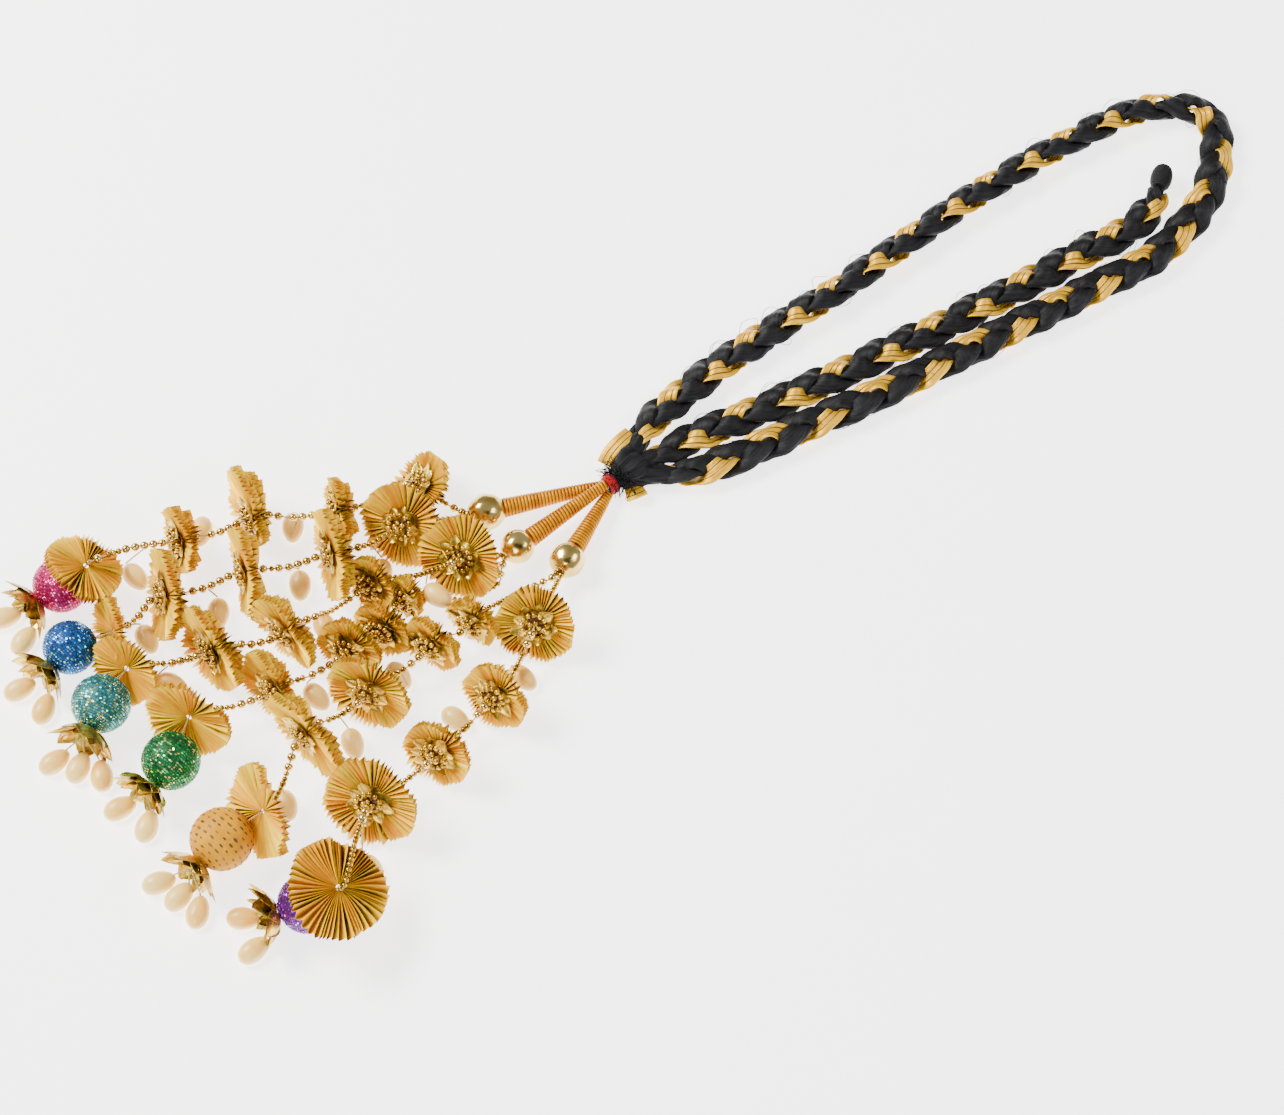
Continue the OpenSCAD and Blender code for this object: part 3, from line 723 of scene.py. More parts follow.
# %% Ribbons
RIBBON_POINTS = 11
RIBBON_SIDE = np.concatenate([np.linspace(1, -1, RIBBON_POINTS), np.linspace(-1, 1, RIBBON_POINTS)])
RIBBON_FACE = np.repeat([1.0, -1.0], RIBBON_POINTS)


def ribbon_corners(s):
    """Two faces with shallow valleys at the creases and thin edges."""
    x, face = RIBBON_SIDE[None, :], RIBBON_FACE[None, :]
    wander = 0.05 * np.sin(s[:, None] * 0.05)
    height = 0.62 + 0.26 * (np.abs(x + 0.38 + wander) ** 0.8) * (np.abs(x) < 0.97)
    height = np.where(np.abs(x) > 0.97, 0.3, height - 0.12 * x * x)
    return np.stack([np.broadcast_to(x, height.shape), height * face], -1)


for plait, name in ((loop_plait, "plait_loop_gold"), (tail_plait, "plait_tail_gold")):
    heap = Heap(across=0.0)
    s, rings = plait.strand(0, RIBBON, ribbon_corners, 1.1)
    heap.add(*turn_out(*skin(rings, s / UV_STEP)), across=np.tile(RIBBON_SIDE, len(s)))
    heap.build(name + "_ribbon", gold_ribbon, "gold_ribbon", [name])

# %% [markdown]
# ## Wound pieces
# The neck of the tie, the end of the second plait and the three cords are cores wound closely with thread.
# A long spiral of thread could be laid round each, but then hundreds of turns have to be kept apart. Here
# such a piece is a turned shape whose radius rises and falls along a helix, so the windings are real ridges
# that catch the light.

# %% Winding helper
WOUND_UV_STEP = 20.0


def wound(rows, start, way, pitch, depth, step, corners=32, sharp=0.7):
    """Skin of a turned profile (distance, radius), with helical ridges of a pitch and depth cut into it."""
    rows = np.asarray(rows, float)
    z = np.arange(rows[0, 0], rows[-1, 0] + step / 2, step)
    z = np.minimum(z, rows[-1, 0])
    radius = np.interp(z, rows[:, 0], rows[:, 1])
    a = np.linspace(0, 2 * np.pi, corners, endpoint=False)
    ridge = np.abs(np.cos(np.pi * (z[:, None] / pitch + a[None, :] / (2 * np.pi)))) ** sharp
    r = np.maximum(radius[:, None] - depth * (1 - ridge) * np.minimum(1, radius[:, None] / (3 * depth)), 0.05)
    local = np.stack([r * np.cos(a), r * np.sin(a), np.broadcast_to(z[:, None], r.shape)], -1)
    return local @ frame_to(way).T + start, z, ridge


def build_wound(name, material, slot, node, *sizes, **more):
    """One wound piece; each point keeps how high it lies on its ridge."""
    points, z, ridge = wound(*sizes, **more)
    heap = Heap(ridge=0.0)
    heap.add(*turn_out(*skin(points, z / WOUND_UV_STEP)), ridge=ridge.ravel())
    return heap.build(name, material, slot, [node])


def thread_material(name, grain, shares, span, groove_shade, light, rough):
    """Matt thread wound in ridges: painted shade between them, lighter and fibrous on top."""
    made, shader, here = new_material(name, Specular_IOR_Level=0.25)
    ridge, fibre = named(here, "ridge"), here.noise(grain, 2.0)
    # The first colour is painted shade, laid in the grooves between the turns.
    tone = (ridge * shares[0] + fibre * shares[1]).ramp(*span)
    finish_material(shader, {"Base Color": tone.mix(groove_shade, light), "Roughness": rough + 0.2 * fibre},
                    ridge + fibre * 0.3, 0.0003, 0.6)
    return made


print("winding helper ready")

# %% [markdown]
# ## The tie
# Both plaits end in one black bundle, a little wider than high. The bundle keeps the outline of the CAD
# solid, and its radius swells in waves round it, which run slowly along it as bunched hair does. Three
# thick locks run on from it into the ends of the plaits. They are swept along short curves, and hide where
# the strands start.

# %% Binding knot
KNOT_ROWS = [[0, 3.4, 3.4], [5, 3.6, 3.6], [7.5, 5.8, 4.8], [12, 8.6, 5.4], [17, 10.6, 5.4], [21, 10.4, 4.4]]
LOCK_PLACES = (2, 7, 13)
LOCK_RADII = [[0, 2.4], [0.25, 4.6], [0.7, 4.4], [1, 1.6]]
NECK = np.array([5.8, 36.3, 6.0])
knot_way = heading_of(5, 0)
knot_side = np.array([-knot_way[1], knot_way[0], 0])

rows = curve(KNOT_ROWS, 10)
a = np.linspace(0, 2 * np.pi, 72, endpoint=False)
along = rows[:, :1]
lock = (1 + 0.09 * np.cos(5 * a + along * 0.16) + 0.05 * np.cos(11 * a - along * 0.12)
        + 0.025 * np.cos(23 * a + along * 0.2))
rings = (NECK + rows[:, :1, None] * knot_way
         + (rows[:, 1:2] * lock * np.cos(a))[..., None] * knot_side
         + (rows[:, 2:3] * lock * np.sin(a))[..., None] * np.array([0, 0, 1.0]))
heap = Heap()
heap.add(*turn_out(*skin(rings, rows[:, 0] / UV_STEP)))
a = a[::2]
other_end = [loop_plait.path.length - s for s in (1, 6, 13)]
lock_runs = [(loop_plait.path, LOCK_PLACES), (tail_plait.path, LOCK_PLACES), (loop_plait.path, other_end)]
for path, stops in lock_runs:
    root = Path(curve([NECK + 9.0 * knot_way, *path.at(np.array(stops, float))], 8))
    at = np.linspace(0, root.length, 26)
    along = at[:, None]
    lock = column(read(LOCK_RADII, at / root.length)) * (
        1 + 0.07 * np.cos(5 * a + 0.3 * along) + 0.04 * np.cos(11 * a - 0.2 * along))
    rings = root.tube(at, np.stack([lock * np.cos(a), lock * np.sin(a) * 0.85], -1))
    rings[..., 2] = np.maximum(rings[..., 2], 0.3)
    heap.add(*turn_out(*skin(rings, at / UV_STEP)))
heap.build("binding_bundle", black_hank, "black_winding", ["binding_knot"])

# %% [markdown]
# ## Cut ends at the neck
# Where the bundle was cut, short hairs stick out in all directions over the red thread. Each is a bent
# chain of seven points that starts just inside the bundle, drawn with seeded random numbers. A hair that
# would reach into the floor is drawn again.

# %% Cut ends
rng = np.random.default_rng(11)
lines = []
while len(lines) < 240:
    turn, along_neck = rng.uniform(-0.6, np.pi + 0.6), rng.uniform(3.8, 10.0)
    r = 3.6 + max(0.0, along_neck - 5) * 0.75
    out = math.cos(turn) * knot_side + math.sin(turn) * np.array([0, 0, 1.0])
    root = NECK + along_neck * knot_way + out * (r - 0.5)
    way = unit(out - knot_way * rng.uniform(-0.2, 1.6) + rng.normal(0, 0.35, 3))
    reach = rng.uniform(2.0, 6.0)
    bend, curl = rng.normal(0, 0.5, 3), rng.normal(0, 0.35, 3)
    line = [root + way * reach * t + bend * reach * t * t * 0.5 + curl * math.sin(5 * t)
            for t in np.linspace(0, 1, 7)]
    if min(p[2] for p in line) > 0.6:
        lines.append(line)
hair_inputs = {"Radius": 0.00015, "Corners": 5, "Material": black_hank}
grow("cut_ends", strands_mesh("cut_ends", lines), strand_tree, hair_inputs)

# %% [markdown]
# ## Ribbon ends
# Two ends of the gold ribbon stick out of the tie in the photo. Each is a short path with the ribbon's own
# section.

# %% Ribbon ends
RIBBON_ENDS = [[[30.7, 53.0, 7.0], [24.0, 51.5, 8.0], [17.0, 50.0, 6.0], [12.5, 48.0, 3.2]],
               [[20.0, 27.0, 4.0], [15.0, 27.5, 4.6], [11.5, 29.0, 3.0]]]
heap = Heap(across=0.0)
for rows in RIBBON_ENDS:
    path = Path(curve(rows, 8))
    at = np.linspace(0, path.length, 22)
    rings = path.tube(at, ribbon_corners(at) * [3.6, 0.7])
    heap.add(*turn_out(*skin(rings, at / UV_STEP)), across=np.tile(RIBBON_SIDE, len(at)))
heap.build("ribbon_ends", gold_ribbon, "gold_ribbon")

# %% [markdown]
# ## Loose threads
# Three threads stand off the plaits in wide loops, where the photo shows them. Many short ones lift off the
# hanks and lie down again, drawn along a strand's own middle line so that they follow its swing.

# %% Loose threads
THREAD_LOOPS = [[[101, 66, 8], [107, 72, 6], [111, 74, 3], [115, 71, 5], [112, 66, 8]],
                [[146, 68, 8], [150, 74, 4], [154, 75, 2], [156, 70, 6]],
                [[157, 25, 8], [161, 29, 5], [165, 30, 2], [166, 25, 6]]]
lines = [curve(rows, 10) for rows in THREAD_LOOPS]
for plait in (loop_plait, tail_plait):
    for start in rng.uniform(25, plait.path.length - 25, int(plait.path.length / 7)):
        number, turn = rng.integers(1, 3), rng.uniform(-0.5, np.pi + 0.5)
        at = start + np.linspace(0, rng.uniform(9, 22), 8)
        side, face = plait.sides(at)
        height = 2.2 + 1.9 * np.sin(np.linspace(0.2, np.pi, 8)) * rng.uniform(0.3, 1.2)
        out = face * math.sin(turn) + side * math.cos(turn) * 1.9
        line = plait.middle(number, at, HANK) + height[:, None] * out
        lines.append(np.maximum(line, [-1000, -1000, 0.3]))
loop_inputs = {"Radius": 0.00014, "Corners": 4, "Material": black_hank}
grow("loose_threads", strands_mesh("loose_threads", lines), strand_tree, loop_inputs)

# %% [markdown]
# ## Red thread and the wound plait end
# Red thread binds the neck of the bundle, and the free end of the tail plait is wound with black thread
# into a small tapering plug. Both are wound pieces; only the profile, the pitch and the colours differ.

# %% Red thread and plait end
RED_PROFILE = [[0.2, 3.9], [0.5, 4.7], [1.2, 4.95], [3.3, 4.95], [4.0, 4.7], [4.3, 3.9]]
PLUG_PROFILE = [[0, 1.0], [0.3, 3.2], [1.8, 4.6], [5, 5.2], [9, 4.9], [12, 3.6], [13.2, 1.2], [13.4, 0.3]]
# Its first colour is painted shade between the turns of the red thread.
red_cotton = thread_material("red_thread", 2600.0, (0.75, 0.35), (0.2, 0.95),
                             (0.09, 0.001, 0.002, 1), (0.50, 0.006, 0.012, 1), 0.45)
build_wound("red_winding", red_cotton, "red_thread", "red_thread",
            RED_PROFILE, NECK, knot_way, 0.72, 0.3, 0.06, corners=56)
# Its first colour is painted shade between the turns of the black thread.
black_cotton = thread_material("black_winding", 2200.0, (0.8, 0.3), (0.3, 0.95),
                               (0.001, 0.001, 0.0015, 1), (0.010, 0.010, 0.012, 1), 0.5)
end = tail_plait.path.length
way = tail_plait.path.way(end)
plug_start = tail_plait.path.at(end) + np.array([0, 0, 0.8]) + 0.2 * way
build_wound("tail_end_winding", black_cotton, "black_winding", "plait_end_knot",
            curve(PLUG_PROFILE, 6), plug_start, way, 0.85, 0.3, 0.12, corners=44)

# %% [markdown]
# ## Where the cords run
# Three cords leave the tie and each ends in a dome bead. A row holds where a cord starts, then its dome's
# place and radius, as in the CAD source. The domes lie on the floor, so a dome's radius is also its height.

# %% Cord rows
CORD_ROWS = [
    [4.8, 38.9, 4.4, -46.5, 55.5, 8.4],
    [5.4, 36.3, 8.9, -45, 33, 7.8],
    [5.1, 33.7, 4.4, -30.5, 14.5, 8]]
SEAT_GAP, CORD_START, CORD_SHOULDER, CORD_END, WIRE_PITCH = 0.3, 2.4, 2.9, 4.6, 1.6
DOME_FACE = 0.9


def cord_start(i):
    return np.array(CORD_ROWS[i][:3], float)


def dome_middle(i):
    x, y, r = CORD_ROWS[i][3:]
    return np.array([x, y, r + 0.1])


def cord_way(i):
    return unit(dome_middle(i) - cord_start(i))


cord_lengths = [np.linalg.norm(dome_middle(i) - cord_start(i)) - DOME_FACE * CORD_ROWS[i][5] - SEAT_GAP
                for i in range(3)]
print("cords of", [round(x) for x in cord_lengths], "mm")

# %% [markdown]
# ## Wrapped cords
# Each cord is wound from end to end with orange-gold thread, thin at the tie and thick at its dome. In the
# gaps between turns painted shade makes the thread dark, so the colour follows the height of the ridge. The
# pitch is trimmed so that a whole number of turns fits.

# %% Wrapped cords
cord_gold, shader, here = new_material("cord_thread", Specular_IOR_Level=0.1)
ridge, uv = named(here, "ridge"), uv_of(here)
fibre = plane_of(uv, uv.part(0) * 6.0, uv.part(1) * 180.0).noise(1.0, 2.0)
patch = here.noise(160.0, 2.0)
body = patch.ramp(0.3, 0.7).mix((0.50, 0.17, 0.0, 1), (0.72, 0.30, 0.0, 1))
# Painted shade: the thread goes dark in the gaps between turns, low on the ridge.
tone = (ridge * 0.85 + fibre * 0.3).ramp(0.22, 0.78)
finish_material(shader, {"Base Color": tone.mix((0.03, 0.006, 0.0, 1), body),
                         "Metallic": ridge * 0.4 + 0.2,
                         "Roughness": 0.4 + 0.25 * fibre}, ridge * 0.5 + fibre * 0.3, 0.0003, 0.7)
for i, total in enumerate(cord_lengths):
    profile = [[0, CORD_START], [6, CORD_SHOULDER], [total, CORD_END]]
    pitch = total / round(total / WIRE_PITCH)
    build_wound(f"cord_winding_{i + 1}", cord_gold, "gold_wire", f"wrapped_cord_{i + 1}",
                profile, cord_start(i), cord_way(i), pitch, 0.5, 0.17, sharp=0.8)

# %% [markdown]
# ## Gilt
# The dome beads and the small beads are gilt brass. It is a plain metal, so its colour is in the base
# colour alone, a little cloudy, and its roughness varies where it is worn.

# %% Gilt
gilt, shader, here = new_material("gilt", Metallic=1.0)
worn = here.noise(420.0, 3.0)
cloud = here.noise(90.0, 2.0)
finish_material(shader, {"Base Color": cloud.ramp(0.3, 0.7).mix((0.55, 0.36, 0.07, 1), (0.88, 0.66, 0.22, 1)),
                         "Roughness": 0.1 + 0.2 * worn}, cloud + worn * 0.15, 0.0006, 0.5)
print("material:", gilt.name)

# %% [markdown]
# ## Dome beads
# Each cord ends in a large thin-walled gilt bead with a rolled collar at both ends of its hole. A profile
# turned round the hole makes it. Shallow dents, made by moving the points a little, break up the
# reflections as they do on pressed brass.

# %% Dome beads
DOME_HOLE, DOME_DENT, DOME_DENTS = 2.0, 0.08, 5


def revolved(profile, corners):
    """Rings of a turned shape about +Z; profile rows are (radius, height)."""
    a = np.linspace(0, 2 * np.pi, corners, endpoint=False)
    profile = np.asarray(profile, float)
    return np.stack([profile[:, :1] * np.cos(a), profile[:, :1] * np.sin(a),
                     np.broadcast_to(profile[:, 1:], (len(profile), corners))], -1)


def drilled(profile, corners):
    """A turned shape with a straight hole: the profile runs outside from end to end, and is closed inside."""
    rings = revolved(list(profile) + [profile[0]], corners)
    return turn_out(*skin(rings, capped=False))


def dome_profile(r):
    """A ball cut off at both ends, with a rolled collar round each end of the hole."""
    collar = [[0.52 * r, 0.87 * r], [0.50 * r, 0.91 * r], [0.40 * r, 0.94 * r], [DOME_HOLE, DOME_FACE * r]]
    ball = [[r * math.cos(t), r * math.sin(t)] for t in np.radians(np.linspace(-56, 56, 25))]
    return [[x, -y] for x, y in reversed(collar)] + ball + collar


for i in range(3):
    r = CORD_ROWS[i][5]
    points, faces, uvs = drilled(dome_profile(r), 64)
    dents = sum(np.sin(points @ rng.normal(0, 0.42, 3) + rng.uniform(0, 6)) for _ in range(DOME_DENTS))
    points = points * (1 + column(dents) * DOME_DENT / r)
    heap = Heap()
    heap.add(points @ frame_to(cord_way(i)).T + dome_middle(i), faces, uvs)
    heap.build(f"dome_{i + 1}", gilt, "gold_bead", [f"dome_bead_{i + 1}"])

# %% [markdown]
# ## The tables of the six strings
# Every string runs from a dome through five rosettes to a ball. The rows are those of the CAD source. A
# lead row holds the string's dome, its shift to one side and points on the way to the first rosette. A
# rosette row holds its place, radius, heading and lean, the shift of its rim, its hub's height where it is
# held up, and how many small beads come after the rosette before it and before itself. A ball row is its
# place, radius and heading, and a cowrie row its place and turn, at the ends of the strings measured from
# the ball's star.

# %% String tables
STRINGS = ["pink", "blue", "teal", "green", "orange", "purple"]
LEAD_ROWS = [
    [0, 1.2, []], [0, -1.2, []],
    [1, 1.2, []], [1, -1.2, [[-62, 24, 4], [-80, 27, 4.5]]],
    [2, 1.2, [[-46, 12, 7]]], [2, -1.2, []]]
ROSETTE_ROWS = [
    [[-64, 82, 16, 140, 52, 0, 0, 2, 0],
     [-101, 91, 14.5, 162, 12, 0, 0, 2, 1],
     [-135, 108, 18, 172, 10, 7, 0, 4, 2],
     [-167, 119, 14.5, 171, 17, 0, 0, 4, 1],
     [-210, 126.5, 17, 170, -56, 0, 24, 5, 1]],
    [[-82, 68, 19.5, -154, 33, 0, 0, 0, 1],
     [-116, 71.5, 20, 165, 12, 0, 0, 0, 2],
     [-152, 86, 19, 162, 10, 0, 0, 5, 1],
     [-187, 96.5, 19.5, 161, 20, 0, 0, 5, 0],
     [-215, 97, 14.2, 170, 23, 0, 0, 3, 1]],
    [[-71, 37, 18.5, -150, 40, 0, 21, 1, 1],
     [-109, 53, 13, -162, 20, 0, 0, 1, 1],
     [-153, 52, 18, -168, 4, 0, 0, 1, 3],
     [-184, 62, 19.5, -175, 12, 0, 0, 4, 0],
     [-219.5, 77.8, 16, -155, 32, 0, 0, 4, 1]],
    [[-99, 40, 9.5, -165, 10, 0, 0, 2, 1],
     [-117, 31, 13.5, -150, 12, 0, 0, 0, 1],
     [-134, 31, 14.5, -150, 20, 0, 0, 0, 0],
     [-171, 32, 14.5, -170, 17, 5, 0, 4, 1],
     [-209.7, 40.3, 19, -146, 22, 0, 0, 3, 0]],
    [[-82, 12, 12, -155, 5, 0, 0, 3, 0],
     [-103.5, 12, 14, -154, 8, 0, 0, 1, 1],
     [-139, 7, 18.5, -146, 18, 0, 0, 2, 1],
     [-172, 4, 21, -168, 2, 0, 0, 2, 1],
     [-206.6, -15.5, 20, 177, 25, 0, 0, 3, 1]],
    [[-61, -6, 17.4, -136, 38, 0, 0, 0, 1],
     [-94, -25, 15, -160, 25, 0, 0, 2, 0],
     [-130, -33, 15, -150, 24, 0, 0, 2, 0],
     [-166, -37, 20, -143, 34, 0, 0, 1, 1],
     [-200, -67, 21, 138, -68, 0, 28, 2, 0]]]
BALL_ROWS = [
    [-222.5, 131, 12.3, 185], [-234.5, 102, 11.8, -165], [-237, 70, 12.8, -145],
    [-226, 29.5, 12.6, -160], [-227, -14.5, 13.6, -165], [-212.5, -59.5, 12.6, 165]]
COWRIE_ROWS = [
    [[-121, 102, 0, 55], [-156, 124, 0, 50], [-192, 121, 0, 94]],
    [[-101, 59, 0, 55], [-134, 75, 0, 60], [-171, 84, 0, 60], [-203.5, 91, 0, 83]],
    [[-88.3, 31.5, 8.5, 107], [-136, 51, 0, 76], [-179.5, 57.5, 0, 68], [-206, 66, 0, 125]],
    [[-157, 24, 0, 97]],
    [[-122, 12, 0, 93], [-156, -4, 0, 75], [-195, -12, 0, 77]],
    [[-78, -20, 0, 105], [-113, -20, 0, 105], [-181, -58, 0, 89]]]
END_COWRIE_ROWS = [
    [[13, -8, -20], [13, 7, 20]], [[13, -7, -20], [13, 8, 25]], [[14, -11, -30], [13, 0, 0], [13, 11, 30]],
    [[13, -8, -25], [13, 7, 20]], [[14, -11, -30], [13, 0, 0], [13, 11, 30]], [[13, -7, -20], [13, 8, 20]]]
LAST = len(ROSETTE_ROWS[0]) - 1
print(len(STRINGS), "strings of", LAST + 1, "rosettes")

# %% [markdown]
# ## Where rosettes and balls stand
# A rosette stands on its rim, so its hub is as high as its radius, its lean and its folds make it, unless
# the row says otherwise. A ball lies on the floor, so its radius is also its height.

# %% Places of rosettes and balls
PLEAT_DEPTH, ROSETTE_WALL, THREAD_RADIUS = 1.2, 1.0, 0.35
SAG_SHARE, RIM_SHARE, CONE_SHARE = 0.16, 0.1, 0.1
LEAN_OVER, STAR_END = -30, 5


def hub_of(row):
    radius, lean = row[2], math.radians(row[4])
    height = row[6] or (radius * math.cos(lean) - CONE_SHARE * radius * math.sin(lean)
                        + (PLEAT_DEPTH + ROSETTE_WALL / 2) * abs(math.sin(lean)) + 0.3)
    return np.array([row[0], row[1], height])


def rosette_way(row):
    return heading_of(row[3], row[4])


def ball_middle(s):
    return np.array([BALL_ROWS[s][0], BALL_ROWS[s][1], BALL_ROWS[s][2] + 0.1])


def ball_way(s):
    return heading_of(BALL_ROWS[s][3], 0)


def ball_entry(s):
    """Direction from the ball's middle to where its string comes in."""
    return unit(hub_of(ROSETTE_ROWS[s][-1]) - ball_middle(s))


def leans_over(row):
    return row[4] < LEAN_OVER


print("first hub at", hub_of(ROSETTE_ROWS[0][0]).round(1), "mm")

# %% [markdown]
# ## The way of each thread
# A thread leaves its dome, passes straight through every hub, hangs between two rosettes or rises over the
# rim of one that leans over its ball, and ends in the star. The curve through these points is the path on
# which beads, seed beads and ties find their places.

# %% Thread paths
BEFORE_HUB, AFTER_HUB = 4, 6.4


def thread_way(s, i):
    """Straight through a rosette, but slanting toward the ball in the last one."""
    row = ROSETTE_ROWS[s][i]
    if i < LAST:
        return rosette_way(row)
    return -ball_entry(s) if leans_over(row) else unit(rosette_way(row) - ball_entry(s))


def thread_rows(s):
    """Points that a string's thread passes: out of its dome, straight through each hub, hanging between."""
    dome_number, aside, lead = LEAD_ROWS[s]
    dome, way = dome_middle(dome_number), cord_way(dome_number)
    aside = unit([way[1], -way[0], 0]) * aside
    rows = ROSETTE_ROWS[s]
    points = [dome - way * 3 + aside, dome + way * (CORD_ROWS[dome_number][5] + 1) + aside]
    points += [np.array(p, float) for p in lead]
    points += [hub_of(rows[0]) - thread_way(s, 0) * back for back in (BEFORE_HUB, BEFORE_HUB / 2, 0)]
    for i in range(LAST):
        a = hub_of(rows[i]) + thread_way(s, i) * AFTER_HUB
        b = hub_of(rows[i + 1]) - thread_way(s, i + 1) * BEFORE_HUB
        share = RIM_SHARE if leans_over(rows[i + 1]) else -SAG_SHARE
        between = (a + b) / 2 + np.array([0, 0, share * np.linalg.norm(a - b)])
        points += [a, between, b, hub_of(rows[i + 1])]
    return points


def thread_points(s, steps=2):
    """The whole thread, with its run through the ball to just past the star."""
    ball, r = ball_middle(s), BALL_ROWS[s][2]
    ends = [ball + ball_entry(s) * (r + 1), ball, ball + ball_way(s) * (r + STAR_END)]
    return np.concatenate([curve(thread_rows(s), steps), ends])


string_paths = [Path(thread_points(s)) for s in range(len(STRINGS))]
print("strings", [round(p.length) for p in string_paths], "mm")

# %% [markdown]
# ## Where the small beads sit
# In the photo some beads are pushed up against the rosette before them and others against the one after
# them. The two last numbers of a rosette's row count them, and each group is laid off along the path at one
# pitch.

# %% Bead places
BEAD_SIZE, BEAD_PITCH, BEAD_HOLE = 4.0, 4.4, 1.1
AFTER_DOME, AFTER_ROSETTE, BEFORE_ROSETTE = 6.4, 9.6, 6.8


def bead_places(s, path):
    rows = ROSETTE_ROWS[s]
    hubs = [path.nearest(hub_of(row)) for row in rows]
    places = []
    for i, row in enumerate(rows):
        first = CORD_ROWS[LEAD_ROWS[s][0]][5] + AFTER_DOME if i == 0 else hubs[i - 1] + AFTER_ROSETTE
        places += [first + k * BEAD_PITCH for k in range(row[7])]
        places += [hubs[i] - BEFORE_ROSETTE - k * BEAD_PITCH for k in range(row[8])]
    return places


places = [bead_places(s, string_paths[s]) for s in range(len(STRINGS))]
print("beads", [len(p) for p in places])

# %% [markdown]
# ## Where the cowries are tied
# A cowrie can't be seen to be drilled in the photo, so each is held by a short tie. A side cowrie's tie
# starts just outside its string, clear of the beads, and runs to the nearer end of the shell. The end
# cowries hang on the end of the thread, under the star.

# %% Ties
COWRIE_LENGTH, COWRIE_WIDTH, COWRIE_HEIGHT = 15.0, 9.8, 6.8
TIE_ENDS, TIE_FAN = (35, 145), 80


def cowrie_radius(a):
    """Half width of a cowrie at an angle from its narrow end, 0 to pi."""
    return COWRIE_WIDTH / 2 * np.sin(a) * (1 - 0.12 * np.cos(a))


def shell_end(middle, turn, a):
    """Where a cowrie is tied: just off its back near one end."""
    a = math.radians(a)
    off = THREAD_RADIUS + SEAT_GAP
    along_shell = -COWRIE_LENGTH / 2 * math.cos(a) - math.copysign(0.65 * off, math.cos(a))
    up = COWRIE_HEIGHT - COWRIE_WIDTH / 2 + cowrie_radius(a) + 0.76 * off
    return middle + along_shell * heading_of(turn, 0) + np.array([0, 0, up])


def end_cowrie_middle(s, row):
    """Place of a cowrie at the end of a string: so far out from the star and so far to one side."""
    out = ball_way(s)
    star = ball_middle(s) + out * (BALL_ROWS[s][2] + 1.4)
    return np.array([star[0], star[1], 0.1]) + out * row[0] + np.array([-out[1], out[0], 0]) * row[1]


def ties(s):
    """Ends of each short thread: by the string, and by the shell."""
    path, made = string_paths[s], []
    for x, y, z, turn in COWRIE_ROWS[s]:
        middle = np.array([x, y, z + 0.1])
        place = path.nearest(middle)
        start, way = path.at(place), path.way(place)
        to = min((shell_end(middle, turn, a) for a in TIE_ENDS), key=lambda p: np.linalg.norm(p - start))
        to_bead = min(abs(b - place) for b in places[s])
        off_bead = BEAD_SIZE / 2 + THREAD_RADIUS + SEAT_GAP
        reach = math.sqrt(max((2 * THREAD_RADIUS + SEAT_GAP) ** 2, off_bead ** 2 - to_bead ** 2))
        made.append((start + reach * unit(to - start - np.dot(to - start, way) * way), to))
    out = ball_way(s)
    aside = np.array([-out[1], out[0], 0])
    thread_end = ball_middle(s) + out * (BALL_ROWS[s][2] + STAR_END)
    for row in END_COWRIE_ROWS[s]:
        b = math.radians(TIE_FAN * np.sign(row[1]))
        start = thread_end + (2 * THREAD_RADIUS + SEAT_GAP) * (math.cos(b) * out + math.sin(b) * aside)
        made.append((start, shell_end(end_cowrie_middle(s, row), BALL_ROWS[s][3] + row[2], TIE_ENDS[0])))
    return made


every_tie = [ties(s) for s in range(len(STRINGS))]
print("ties", [len(lines) for lines in every_tie])

# %% [markdown]
# ## Threads
# The thread of each string and the ties of its cowries are two-ply: the shader draws the twist from the
# length along the strand and the place around it, which the strand tree stores on the mesh, and paints shade
# into the groove of the twist. A tie rises a little in its middle.

# %% Threads and ties
ply, shader, here = new_material("string_thread", Sheen_Weight=0.2)
along, around = named(here, "along"), named(here, "around")
twist = (along * 5200.0 + around * (4 * math.pi)).sin() * 0.5 + 0.5
fibre = here.noise(3000.0, 1.0)
# Painted shade: the thread darkens in the groove of its twist, where the bump is low.
finish_material(shader, {"Base Color": (twist * 0.7 + fibre * 0.4).ramp(0.1, 0.9)
                         .mix((0.30, 0.16, 0.04, 1), (0.72, 0.50, 0.20, 1)),
                         "Roughness": 0.5 + 0.2 * fibre}, twist, 0.0002, 0.6)

for s, name in enumerate(STRINGS):
    lines = [thread_points(s, 8)]
    for start, stop in every_tie[s]:
        t = np.linspace(0, 1, 7)[:, None]
        lines.append(start + (stop - start) * t + np.array([0, 0, 0.25]) * np.sin(np.pi * t))
    inputs = {"Radius": THREAD_RADIUS / 1000, "Corners": 8, "Material": ply}
    mesh = strands_mesh(name, lines)
    grow("string_" + name, mesh, strand_tree, inputs, ["thread_" + name])

# %% [markdown]
# ## Small beads
# The beads between the rosettes are drilled balls of 4 mm, flattened at both ends of the hole. One is made
# as a turned shape, and set on every bead place of a string with its hole along the thread.

# %% Small beads
BEAD_END = 1.62


def side_of(ways):
    """A direction across each way, which the tree for copies needs as well."""
    return unit(np.cross(ways, [0.1, 0.2, 1.0]))


arc = np.radians(np.linspace(-52, 52, 13))
rows = [[BEAD_SIZE / 2 * math.cos(t), BEAD_SIZE / 2 * math.sin(t)] for t in arc]
bead = template("bead", *drilled([[BEAD_HOLE, -BEAD_END], *rows, [BEAD_HOLE, BEAD_END]], 18))
for s, name in enumerate(STRINGS):
    at = np.array(places[s])
    way = string_paths[s].way(at)
    mesh = points_mesh(name, string_paths[s].at(at), up=way, side=side_of(way),
                       size=np.full(len(at), 0.98), tone=rng.random(len(at)))
    inputs = {"Copy": bead, "Material": gilt}
    grow("beads_" + name + "_gilt", mesh, copies, inputs, ["beads_" + name])
bpy.data.objects.remove(bead)
